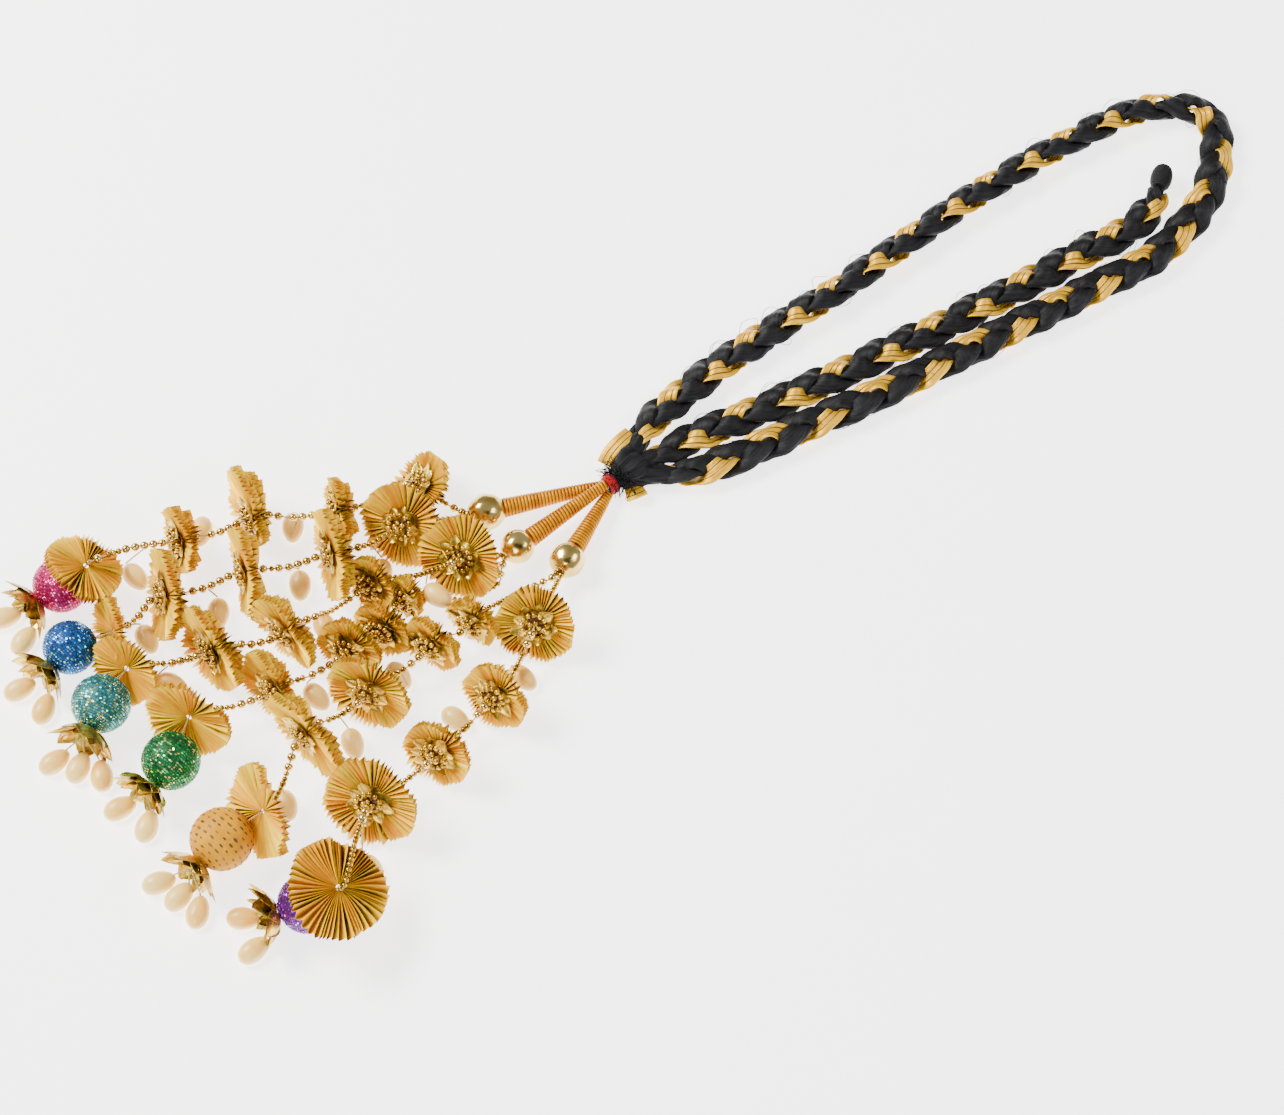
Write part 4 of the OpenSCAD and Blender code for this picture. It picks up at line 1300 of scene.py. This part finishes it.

# %% [markdown]
# ## Pleated ribbon
# The ribbon of the rosettes is thin woven metal. Light and shade are painted into its pleats: painted shade
# makes them darker in the creases than on the crests, some creases gape as dark slits of painted shade, and a
# painted highlight turns the crests pale, most of all near the rim. Each pleat also has its own tone. A
# texture could not know where the pleats are, so the mesh carries three numbers for the shader: the height in
# the fold, from -1 in a crease to 1 on a crest, the tone of the pleat, and the way from hub to rim.

# %% Pleated ribbon material
pleated, shader, here = new_material("pleated_ribbon", Specular_IOR_Level=0.15)
fold, tone, rim = named(here, "fold"), named(here, "tone"), named(here, "rim")
rib = plane_of(here, uv_of(here).part(0) * 240.0, rim * 5.0).noise(1.0, 2.0)
cloud = here.noise(130.0, 3.0)
crest = (fold * 0.5 + 0.5 + (rib - 0.5) * 0.5)
warm = (tone * 0.45 + here.noise(70.0, 2.0) * 0.75).ramp(0.35, 0.85)
body = warm.mix((0.90, 0.45, 0.003, 1), (0.98, 0.70, 0.012, 1))
# Painted shade: the creases darken towards brown.
shaded = crest.ramp(0.12, 0.68).mix((0.36, 0.14, 0.002, 1), body)
# Painted shade: in some pleats the crease, away from the rim, goes near black as a gaping slit.
slit = tone.ramp(0.55, 0.8) * (1 - crest.ramp(0.3, 0.95)) * (1 - rim.ramp(0.6, 1.0))
shaded = slit.mix(shaded, (0.11, 0.042, 0.002, 1))
# Painted highlight: the crests, most of all near the rim, turn pale yellow.
crest_highlight = (crest * 0.7 + rim * 0.3 + cloud * 0.15).ramp(0.9, 1.15)
finish_material(shader, {"Base Color": crest_highlight.mix(shaded, (1.0, 0.80, 0.07, 1)),
                         "Metallic": crest * 0.2 + 0.1,
                         "Roughness": 0.4 + 0.25 * rib},
                rib * 0.5 + crest * 0.3, 0.0004, 0.6)
print("material:", pleated.name)

# %% [markdown]
# ## A thin sheet round a hub
# A ribbon made of a single layer of faces would have no thickness, and its back would be missing in the
# export. So each rosette is a front and a back grid, a third of a millimetre apart, with rows from hub to
# rim and columns round the hub, closed along both edges.

# %% Round sheets
def shell(front, back, heap, **numbers):
    """Closed thin sheet between two polar grids (rows from hub to rim, columns round)."""
    rows, n = front.shape[:2]
    points = np.concatenate([front.reshape(-1, 3), back.reshape(-1, 3)])
    i, k = (x.ravel() for x in np.meshgrid(np.arange(rows - 1), np.arange(n), indexing="ij"))
    j = (k + 1) % n
    quads = np.stack([i * n + k, (i + 1) * n + k, (i + 1) * n + j, i * n + j], 1)
    top = quads
    low = quads[:, ::-1] + rows * n
    k = np.arange(n)
    j = (k + 1) % n
    last, other = (rows - 1) * n, rows * n
    edge = np.stack([last + k, last + other + k, last + other + j, last + j], 1)
    hub = np.stack([k, j, other + j, other + k], 1)
    faces = np.concatenate([top, low, edge, hub])
    column_of = faces % n
    row_of = (faces % other) // n
    wrap = (column_of == 0) & (column_of.max(1, keepdims=True) == n - 1)
    uvs = np.stack([(column_of + wrap * n) / n, row_of / (rows - 1)], -1).reshape(-1, 2)
    heap.add(points, faces.tolist(), uvs, **numbers)


print("round sheets ready")

# %% [markdown]
# ## Rosettes
# A rosette is a strip of ribbon gathered at one edge into 56 pleats, and all but the last of a string have
# a second, smaller ruffle of 36 behind. A cloth simulation could gather a strip, but it would wander from
# the CAD disc. Here the height zigzags round the hub, more and more towards the rim, and slow waves throw
# the rim out of true.

# %% Rosettes
FOLD = [-1.0, 0.45, 1.0, 0.35]
FOLD_STEPS = np.array([0.0, 0.27, 0.52, 0.77])
FOLD_DEPTH, HUB_RADIUS, RIBBON_WALL = 2.1, 1.35, 0.34


def rosette(row, heap, rng, pleats=56, rows=7, width=1.0, behind=0.0):
    """Round pleats of uneven width with sharp creases; a ruffle has its own width and lies behind."""
    radius, shift = row[2] * width, row[5]
    widths = rng.uniform(0.6, 1.4, pleats)
    starts = np.concatenate([[0], np.cumsum(widths)]) / widths.sum() * 2 * np.pi
    a = (starts[:-1, None] + np.diff(starts)[:, None] * FOLD_STEPS).ravel()
    number = np.repeat(np.arange(pleats), len(FOLD))
    wave = np.tile(FOLD, pleats)
    tall, tones = rng.uniform(0.7, 1.2, pleats)[number], rng.uniform(0, 1, pleats)[number]
    share = np.linspace(0, 1, rows)[:, None] ** 0.85
    outline = 1.02 + 0.04 * np.sin(3 * a + math.radians(row[0])) + 0.02 * np.sin(8 * a + rng.uniform(0, 6))
    rim = radius * outline + 0.3 * np.maximum(wave, 0) + rng.normal(0, 0.1, pleats)[number]
    r = HUB_RADIUS + (rim - HUB_RADIUS) * share
    bow = (0.9 * np.sin(2 * a + rng.uniform(0, 6)) + 0.7 * np.sin(5 * a + rng.uniform(0, 6))
           + rng.normal(0, 0.3, pleats)[number])
    amplitude = 0.3 + FOLD_DEPTH * share ** 0.75 * tall
    z = CONE_SHARE * radius * share + amplitude * wave + bow * share ** 1.6 - behind
    swirl = a + share * (0.10 * np.sin(a * 2 + 1.0) + 0.06 * np.sin(a * 7 + rng.uniform(0, 6)) + 0.05)
    local = np.stack([r * np.cos(swirl), r * np.sin(swirl) - shift * share, z], -1)
    axes, hub = frame_to(rosette_way(row)), hub_of(row)
    wall = np.array([0, 0, RIBBON_WALL / 2])
    fold = np.broadcast_to(wave, z.shape)
    front, back = (local + wall) @ axes.T + hub, (local - wall) @ axes.T + hub
    front[..., 2], back[..., 2] = np.maximum(front[..., 2], 0.2), np.maximum(back[..., 2], 0.1)
    rims = np.broadcast_to(share, z.shape)
    shell(front, back, heap, fold=np.concatenate([fold.ravel(), -fold.ravel()]),
          tone=np.tile(np.broadcast_to(tones, z.shape).ravel(), 2), rim=np.tile(rims.ravel(), 2))


for s, name in enumerate(STRINGS):
    heap = Heap(fold=0.0, tone=0.5, rim=0.5)
    for i, row in enumerate(ROSETTE_ROWS[s]):
        rng = np.random.default_rng(100 * s + i)
        rosette(row, heap, rng)
        if i < LAST:
            rosette(row, heap, rng, pleats=36, rows=5, width=0.8, behind=3.4)
    heap.build("pleats_" + name, pleated, "pleated_ribbon", ["rosettes_" + name], smooth=False)

# %% [markdown]
# ## Gold foil
# The petals are thin stamped foil, brighter than the ribbon and crumpled. Cells of noise in the bump make
# the crumples, so that each small facet mirrors another part of the room, and a slow cloud stains the gold.

# %% Foil material
foil, shader, here = new_material("gold_foil", Metallic=0.9)
cell = here.node("ShaderNodeTexVoronoi", {"feature": "SMOOTH_F1"},
                 {"Vector": here, "Scale": 260.0, "Smoothness": 0.6}, "Distance")
fine = here.noise(900.0, 3.0)
cloud = here.noise(170.0, 2.0)
stained = cloud.ramp(0.32, 0.68).mix((0.34, 0.20, 0.012, 1), (0.95, 0.70, 0.10, 1))
finish_material(shader, {"Base Color": stained, "Roughness": 0.2 + 0.2 * fine},
                cell * 0.8 + fine * 0.1, 0.0009, 0.6)
print("material:", foil.name)

# %% [markdown]
# ## Petals
# A petal is a small pointed leaf, folded down its middle, arched to its tip and a little twisted. Like the
# ribbon it is a front and a back grid, but it doesn't close round a hub, so its edge is walked all the way
# round.

# %% Petals
FOIL_WALL, PETAL_ROOT = 0.16, 1.7


def sheet(front, back, heap):
    """Closed thin sheet between two open grids of points."""
    rows, n = front.shape[:2]
    other = rows * n
    index = np.arange(other).reshape(rows, n)
    quads = np.stack([index[:-1, :-1], index[1:, :-1], index[1:, 1:], index[:-1, 1:]], -1).reshape(-1, 4)
    rim = np.concatenate([index[0], index[1:, -1], index[-1, -2::-1], index[-2:0:-1, 0]])
    after = np.roll(rim, -1)
    edge = np.stack([rim, after, after + other, rim + other], 1)
    faces = np.concatenate([quads, quads[:, ::-1] + other, edge[:, ::-1]])
    uvs = np.stack([(faces % n) / (n - 1), (faces % other) // n / (rows - 1)], -1).reshape(-1, 2)
    points = np.concatenate([front.reshape(-1, 3), back.reshape(-1, 3)])
    heap.add(*turn_out(points, faces.tolist(), uvs))


def petal(heap, centre, axes, turn, reach, width, lift, rise, rng):
    """A pointed leaf of foil from the hub outwards."""
    t, c = np.linspace(0, 1, 8)[:, None], np.linspace(-1, 1, 5)[None, :]
    half = width / 2 * (0.2 * (1 - t) + np.sin(np.pi * t ** 0.7) ** 0.75)
    reach, twist = reach * rng.uniform(0.86, 1.08), rng.uniform(-0.4, 0.4)
    out, aside = PETAL_ROOT + (reach - PETAL_ROOT) * t + 0 * c, c * half
    up = (lift + rise * t ** 1.3 + twist * t * aside + 0.32 * half * (1 - np.abs(c)) * rng.choice([-1, 1])
          + rng.normal(0, 0.08, half.shape) + rng.normal(0, 0.04, aside.shape))
    x, y = out * math.cos(turn) - aside * math.sin(turn), out * math.sin(turn) + aside * math.cos(turn)
    local = np.stack([x, y, up], -1)
    wall = np.array([0, 0, FOIL_WALL / 2])
    front, back = (local + wall) @ axes.T + centre, (local - wall) @ axes.T + centre
    front[..., 2], back[..., 2] = np.maximum(front[..., 2], 0.3), np.maximum(back[..., 2], 0.15)
    sheet(front, back, heap)


def foil_flower(heap, centre, axes, rings, rng):
    """Rings of petals; each row is (petals, reach, width, lift, rise)."""
    for count, reach, width, lift, rise in rings:
        first = rng.uniform(0, 6)
        for k in range(count):
            turn = first + (k + rng.uniform(-0.14, 0.14)) / count * 2 * math.pi
            petal(heap, centre, axes, turn, reach, width, lift, rise * rng.uniform(0.75, 1.2), rng)


print("petals ready")

# %% [markdown]
# ## Flower cores
# Between the petals and the seed beads a flower looks dark brown in the photo, where its middle lies in
# shade. A low turned button fills that place, so that no seed bead hangs in the air. Its dark brown is
# painted shade, and nine ridges round it are drawn in the bump, with darker painted shade between them.

# %% Flower cores
CORE_PROFILE = [[1.4, 1.6], [4.9, 1.9], [5.1, 2.8], [4.4, 3.6], [3.0, 4.1], [1.4, 4.2]]
core_painted_shade, shader, here = new_material("core_painted_shade", Specular_IOR_Level=0.3)
# Painted shade: the whole core is dark brown, darker still between the nine ridges of its bump.
ridge, fibre = named(here, "ridge"), here.noise(1500.0, 2.0)
tone = (ridge * 0.5 + fibre * 0.7).ramp(0.3, 0.9)
finish_material(shader, {"Base Color": tone.mix((0.025, 0.009, 0.002, 1), (0.22, 0.085, 0.008, 1)),
                         "Roughness": 0.5 + 0.2 * fibre}, ridge * 0.6 + fibre * 0.5, 0.0004, 0.7)
core_points, core_faces, core_uvs = drilled(CORE_PROFILE, 36)
core_ridges = 0.5 + 0.5 * np.sin(9 * np.arctan2(core_points[:, 1], core_points[:, 0]))
print("a core has", len(core_points), "points")

# %% [markdown]
# ## Foil flowers and stars
# A ring of petals and a core lie on the hub of each rosette but the last, and two rings of petals cap the
# far side of each ball as a star. The petals stand in the places of the CAD model's thin cones. Seeded
# random numbers make every petal a little longer, shorter or more bent than its neighbours.

# %% Flowers and stars
FLOWER = [(9, 11.0, 7.4, 2.6, 1.6)]
STAR = [(8, 15.5, 10.4, 0.3, 8.0), (7, 10.5, 7.2, 0.9, 8.2)]
STAR_GAP = 0.4
for s, name in enumerate(STRINGS):
    rng = np.random.default_rng(500 + s)
    flowers, cores, star = Heap(), Heap(ridge=0.0), Heap()
    for row in ROSETTE_ROWS[s][:-1]:
        axes, hub = frame_to(rosette_way(row)), hub_of(row)
        foil_flower(flowers, hub, axes, FLOWER, rng)
        cores.add(core_points @ axes.T + hub, core_faces, core_uvs, ridge=core_ridges)
    centre = ball_middle(s) + ball_way(s) * (BALL_ROWS[s][2] + STAR_GAP)
    foil_flower(star, centre, frame_to(ball_way(s)), STAR, rng)
    flowers.build("foil_flowers_" + name, foil, "gold_foil", ["cups_" + name])
    cores.build("flower_cores_" + name, core_painted_shade, None)
    star.build("foil_star_" + name, foil, "gold_foil", ["star_" + name])

# %% [markdown]
# ## Seed beads
# Between the larger beads each thread is covered with seed beads, and two rings of them sit on the core of
# every foil flower. They are too many and too small for solids, so they are only here, as copies that the
# tree sets. None is set where a larger bead, a hub or the petals are.

# %% Seed beads
SEED_PITCH, BEAD_CLEAR, HUB_CLEAR, FLOWER_CLEAR = 2.35, 2.85, 1.8, 6.0
SEED_PROFILE = [[0.55, -1.05], [1.15, -0.8], [1.42, 0.0], [1.15, 0.8], [0.55, 1.05]]
SEED_RINGS = ((13, 5.5, 4.3, 0.95), (5, 2.0, 4.9, 1.0))
seed_gilt, shader, here = new_material("seed_gilt", Metallic=1.0)
worn, tone = here.noise(700.0, 2.0), named(here, "tone")
shade = (tone * 0.6 + worn * 0.5).ramp(0.2, 0.9)
finish_material(shader, {"Base Color": shade.mix((0.30, 0.16, 0.010, 1), (0.74, 0.49, 0.07, 1)),
                         "Roughness": 0.18 + 0.2 * worn}, worn, 0.0002, 0.3)
seed = template("seed", *drilled(SEED_PROFILE, 10))
rng = np.random.default_rng(31)
for s, name in enumerate(STRINGS):
    path = string_paths[s]
    hubs = np.array([path.nearest(hub_of(row)) for row in ROSETTE_ROWS[s]])
    taken = np.array(places[s])
    every = np.arange(CORD_ROWS[LEAD_ROWS[s][0]][5] + 3.5, hubs[-1] - 2.0, SEED_PITCH)
    at = np.array([p for p in every if np.abs(taken - p).min() > BEAD_CLEAR
                   and not np.any((p > hubs - HUB_CLEAR) & (p < hubs + FLOWER_CLEAR))])
    points, ways, sizes = [path.at(at)], [path.way(at)], [rng.uniform(0.9, 1.1, len(at))]
    for row in ROSETTE_ROWS[s][:-1]:
        axes = frame_to(rosette_way(row))
        for count, r, up, size in SEED_RINGS:
            a = np.linspace(0, 2 * np.pi, count, endpoint=False) + rng.uniform(0, 6)
            ring = np.stack([r * np.cos(a), r * np.sin(a), np.full(count, up)], -1)
            points.append(ring @ axes.T + hub_of(row))
            ways.append(np.stack([-np.sin(a), np.cos(a), 0 * a], -1) @ axes.T)
            sizes.append(np.full(count, size))
    points, ways = np.concatenate(points), np.concatenate(ways)
    mesh = points_mesh(name, points, up=ways, side=side_of(ways),
                       size=np.concatenate(sizes), tone=rng.random(len(points)))
    grow("seeds_" + name, mesh, copies, {"Copy": seed, "Material": seed_gilt})
bpy.data.objects.remove(seed)

# %% [markdown]
# ## The look of a cowrie
# Cowries are glossy shells, amber on the back and paler towards the edge, and no two are alike. Their
# colour follows the height, which each point of the shell carries, and a cloud of noise and a tone of its
# own for every shell stain it. A little light passes under the surface, as it does in shell.

# %% Cowrie material
cowrie, shader, here = new_material("cowrie_shell", Coat_Weight=0.35, Coat_Roughness=0.25,
                                    Subsurface_Weight=0.05, Subsurface_Scale=0.002)
shader.inputs["Subsurface Radius"].default_value = (1.0, 0.5, 0.3)
high, tone = named(here, "high"), named(here, "tone")
cloud = here.noise(150.0, 3.0)
warm = (cloud * 0.7 + tone * 0.45).ramp(0.3, 0.85)
back = warm.mix((1.0, 0.70, 0.20, 1), (0.95, 0.50, 0.07, 1))
finish_material(shader, {"Base Color": high.ramp(0.15, 0.7).mix((1.0, 0.78, 0.34, 1), back),
                         "Roughness": 0.32 + 0.2 * cloud}, cloud, 0.0003, 0.2)
print("material:", cowrie.name)

# %% [markdown]
# ## The shape of a cowrie
# A cowrie is an egg-shaped shell, wide near one end, with a flat underside and a toothed slit along it. It
# could be sculpted, but the same few numbers that make the CAD solid make it here. One shell is made in
# rings along its length, pressed flat below, and set beside the strings, back up.

# %% Cowrie shells
SOLE, SLIT_DEPTH, SLIT_WIDTH = 0.9, 1.2, 0.5
TOOTH, TOOTH_PITCH = 0.16, 0.95


def cowrie_mesh(length, width, height, rows=36, corners=44):
    """Rings of a shell that lies on its mouth; corners crowd towards the underside, where the slit is."""
    a = np.linspace(0.02, np.pi - 0.02, rows)
    radius, x = cowrie_radius(a), -length / 2 * np.cos(a)
    t = np.linspace(0, 2 * np.pi, corners, endpoint=False)
    t = t + 0.28 * np.sin(t)
    drop = height - width / 2
    y = radius[:, None] * np.sin(t)
    z = drop + radius[:, None] * np.cos(t)
    flat = 0.12 + 0.06 * (y / 4) ** 2
    z = np.where(z < SOLE, flat + (SOLE - flat) * np.exp((z - SOLE) / 0.55), z)
    under = np.clip(1 - (z - 0.1) / 0.8, 0, 1)
    inside = np.clip((0.37 * length - np.abs(x))[:, None], 0, 1)
    slit = SLIT_DEPTH * np.exp(-(y / SLIT_WIDTH) ** 2) * inside
    beside = np.exp(-((np.abs(y) - 1.2) / 0.7) ** 2)
    teeth = TOOTH * np.cos(2 * np.pi * x / TOOTH_PITCH)[:, None] * beside * inside
    z = z + under * (slit + teeth + 0.16 * inside * np.exp(-(y / 1.8) ** 2))
    return np.stack([np.broadcast_to(x[:, None], y.shape), y, z], -1)


rings = cowrie_mesh(COWRIE_LENGTH, COWRIE_WIDTH, COWRIE_HEIGHT)
shell_template = template("shell", *turn_out(*skin(rings)))
heights = shell_template.data.attributes.new("high", "FLOAT", "POINT")
heights.data.foreach_set("value", (rings[..., 2] / COWRIE_HEIGHT).ravel())
for s, name in enumerate(STRINGS):
    at = [[x, y, z + 0.1] for x, y, z, turn in COWRIE_ROWS[s]]
    at += [end_cowrie_middle(s, row) for row in END_COWRIE_ROWS[s]]
    side = [heading_of(row[3], 0) for row in COWRIE_ROWS[s]]
    side += [heading_of(BALL_ROWS[s][3] + row[2], 0) for row in END_COWRIE_ROWS[s]]
    n = len(at)
    mesh = points_mesh(name, np.array(at), up=np.tile([0, 0, 1.0], (n, 1)), side=np.array(side),
                       size=np.ones(n), tone=rng.random(n))
    inputs = {"Copy": shell_template, "Material": cowrie}
    grow("shells_" + name, mesh, copies, inputs, ["cowries_" + name])
bpy.data.objects.remove(shell_template)

# %% [markdown]
# ## The core of a ball
# Each string ends in a ball of 24 to 27 mm. Its core is turned in rings round the thread that runs through
# it, like a bead. A stock sphere would do for the glitter balls, but rings can also be grooved, as the
# wound orange ball is.

# %% Ball cores
GROOVE_PITCH = 0.8


def ball_core(s, cloth, name, groove=0.0, rows=46, corners=46):
    """The cloth-covered ball of one string, with grooves round its axis if it is wound."""
    r = BALL_ROWS[s][2]
    t = np.linspace(0.1, np.pi - 0.02, rows)
    radius = r - groove * (1 - np.abs(np.cos(t * r / GROOVE_PITCH * np.pi)))
    rings = revolved(np.column_stack([radius * np.sin(t), radius * np.cos(t)]), corners)
    heap = Heap()
    points, faces, uvs = turn_out(*skin(rings))
    heap.add(points @ frame_to(ball_way(s)).T + ball_middle(s), faces, uvs)
    heap.build("ball_" + name + "_cloth", cloth, "ball_" + name, ["ball_" + name])


print("ball radii:", [row[2] for row in BALL_ROWS])

# %% [markdown]
# ## Rows of flecks
# Flecks and dashes lie in rows round the axis of a ball. Points scattered at random would leave holes and
# pile up, so each row is spaced evenly first, and then every point is moved a little along its row. What is
# set there is a thin six-sided plate, which is the cheapest shape that still has an edge to catch the
# light.

# %% Rows round a ball
def ball_rows_of(s, spacing, pitch, rng):
    """Directions in rows round the axis through a ball's star, with the direction along each row."""
    axes = frame_to(ball_way(s))
    r = BALL_ROWS[s][2]
    made, sides = [], []
    for t in np.arange(spacing / r / 2, np.pi, spacing / r):
        n = max(3, int(2 * np.pi * r * math.sin(t) / pitch))
        for k in range(n):
            a = 2 * np.pi * (k + rng.uniform(-0.25, 0.25)) / n + t * 3
            made.append([math.sin(t) * math.cos(a), math.sin(t) * math.sin(a), math.cos(t)])
            sides.append([-math.sin(a), math.cos(a), 0])
    return np.array(made) @ axes.T, np.array(sides) @ axes.T


def plate(length, width, thick):
    """A six-sided plate whose upper face is a little smaller."""
    a = np.radians(np.arange(0, 360, 60))
    ring = np.stack([length / 2 * np.cos(a), width / 2 * np.sin(a)], 1)
    low = np.column_stack([ring, np.full(6, -thick / 2)])
    high = np.column_stack([ring * 0.9, np.full(6, thick / 2)])
    return turn_out(*skin([low, high]))


print("fleck corners:", len(plate(1.0, 1.0, 1.0)[0]))

# %% [markdown]
# ## Glitter balls
# Five balls are covered with glitter cloth: small bright flecks over a darker ground, a few of them in a
# second, brighter colour. A sparkling texture would stay flat when the ball turns. Here every fleck is a
# plate with its own tilt and tone, so each mirrors another part of the room.

# %% Glitter materials
def ball_materials(name, ground, low, high, spark):
    """Ground cloth and flecks of one ball; a fleck's tone picks its colour."""
    cloth, shader, here = new_material("cloth_" + name, Metallic=0.5)
    grain = here.noise(900.0, 2.0)
    finish_material(shader, {"Base Color": grain.mix(ground, low), "Roughness": 0.4 + 0.3 * grain},
                    grain, 0.0003, 0.5)
    flecks, shader, here = new_material("flecks_" + name)
    tone = named(here, "tone")
    grain = here.noise(1500.0, 1.0)
    plain = tone.ramp(0.05, 0.7).mix(low, high)
    finish_material(shader, {"Base Color": tone.ramp(0.84, 0.9).mix(plain, spark),
                             "Metallic": 0.65 + 0.3 * grain, "Roughness": 0.18 + 0.2 * grain})
    return cloth, flecks


looks = {
    "pink": ((0.10, 0.001, 0.02, 1), (0.40, 0.001, 0.09, 1), (0.90, 0.015, 0.25, 1), (1.0, 0.30, 0.50, 1)),
    "blue": ((0.004, 0.014, 0.05, 1), (0.004, 0.05, 0.22, 1), (0.02, 0.26, 0.72, 1), (0.40, 0.75, 0.95, 1)),
    "teal": ((0.01, 0.05, 0.05, 1), (0.02, 0.16, 0.18, 1), (0.12, 0.48, 0.42, 1), (0.80, 0.72, 0.25, 1)),
    "green": ((0.002, 0.03, 0.01, 1), (0.005, 0.10, 0.03, 1), (0.01, 0.36, 0.09, 1), (0.75, 0.80, 0.20, 1)),
    "purple": ((0.02, 0.004, 0.04, 1), (0.08, 0.012, 0.14, 1), (0.28, 0.02, 0.50, 1), (0.75, 0.40, 0.90, 1)),
}
print("glitter balls:", ", ".join(looks))

# %% [markdown]
# ## Cloth and flecks
# A ball carries its flecks a hair above the cloth. Each fleck is tilted by a random vector added to its
# normal, and neither its size nor its tone is that of its neighbours. All flecks of one ball are copies
# that one tree sets.

# %% Glitter balls
FLECK_ROW, FLECK_PITCH, FLECK_TILT, FLECK_LIFT = 1.15, 1.25, 0.2, 0.02
fleck = template("fleck", *plate(1.35, 0.95, 0.12))
for s, name in enumerate(STRINGS):
    if name not in looks:
        continue
    rng = np.random.default_rng(900 + s)
    cloth, glitter = ball_materials(name, *looks[name])
    ball_core(s, cloth, name)
    normal, side = ball_rows_of(s, FLECK_ROW, FLECK_PITCH, rng)
    n = len(normal)
    tilt = unit(normal + rng.normal(0, FLECK_TILT, (n, 3)))
    at = ball_middle(s) + normal * (BALL_ROWS[s][2] + FLECK_LIFT)
    mesh = points_mesh(name, at, up=tilt, side=side, size=rng.uniform(0.75, 1.1, n), tone=rng.random(n))
    inputs = {"Copy": fleck, "Material": glitter}
    grow("ball_" + name + "_flecks", mesh, copies, inputs, smooth=False)
bpy.data.objects.remove(fleck)

# %% [markdown]
# ## The orange ball
# The fifth string's ball has no glitter. It is wound with dull orange thread and shows dark dashes in rows.
# Its core is grooved like a ball of thread, and the dashes are long thin plates pressed a little into it.

# %% Orange ball
ORANGE = STRINGS.index("orange")
DASH_ROW, DASH_PITCH, DASH_SINK = 3.0, 4.2, 0.01
thread_cloth, shader, here = new_material("cloth_orange", Specular_IOR_Level=0.15)
grain = here.noise(700.0, 3.0)
cloud = here.noise(110.0, 2.0)
body = (cloud * 0.7 + grain * 0.4).ramp(0.3, 0.8).mix((0.55, 0.22, 0.0, 1), (0.74, 0.35, 0.0, 1))
finish_material(shader, {"Base Color": body, "Metallic": 0.1 * grain, "Roughness": 0.45 + 0.25 * grain},
                grain, 0.0004, 0.6)
ball_core(ORANGE, thread_cloth, "orange", groove=0.16, rows=100, corners=60)

dash_dark, shader, here = new_material("dashes_orange")
tone = named(here, "tone")
grain = here.noise(1500.0, 1.0)
finish_material(shader, {"Base Color": tone.mix((0.045, 0.025, 0.004, 1), (0.17, 0.11, 0.012, 1)),
                         "Roughness": 0.4 + 0.3 * grain})
dash = template("dash", *plate(2.5, 1.1, 0.16))
rng = np.random.default_rng(77)
normal, side = ball_rows_of(ORANGE, DASH_ROW, DASH_PITCH, rng)
n = len(normal)
at = ball_middle(ORANGE) + normal * (BALL_ROWS[ORANGE][2] - DASH_SINK)
mesh = points_mesh("dashes", at, up=normal, side=side, size=rng.uniform(0.7, 1.15, n), tone=rng.random(n))
inputs = {"Copy": dash, "Material": dash_dark}
grow("ball_orange_dashes", mesh, copies, inputs, smooth=False)
bpy.data.objects.remove(dash)
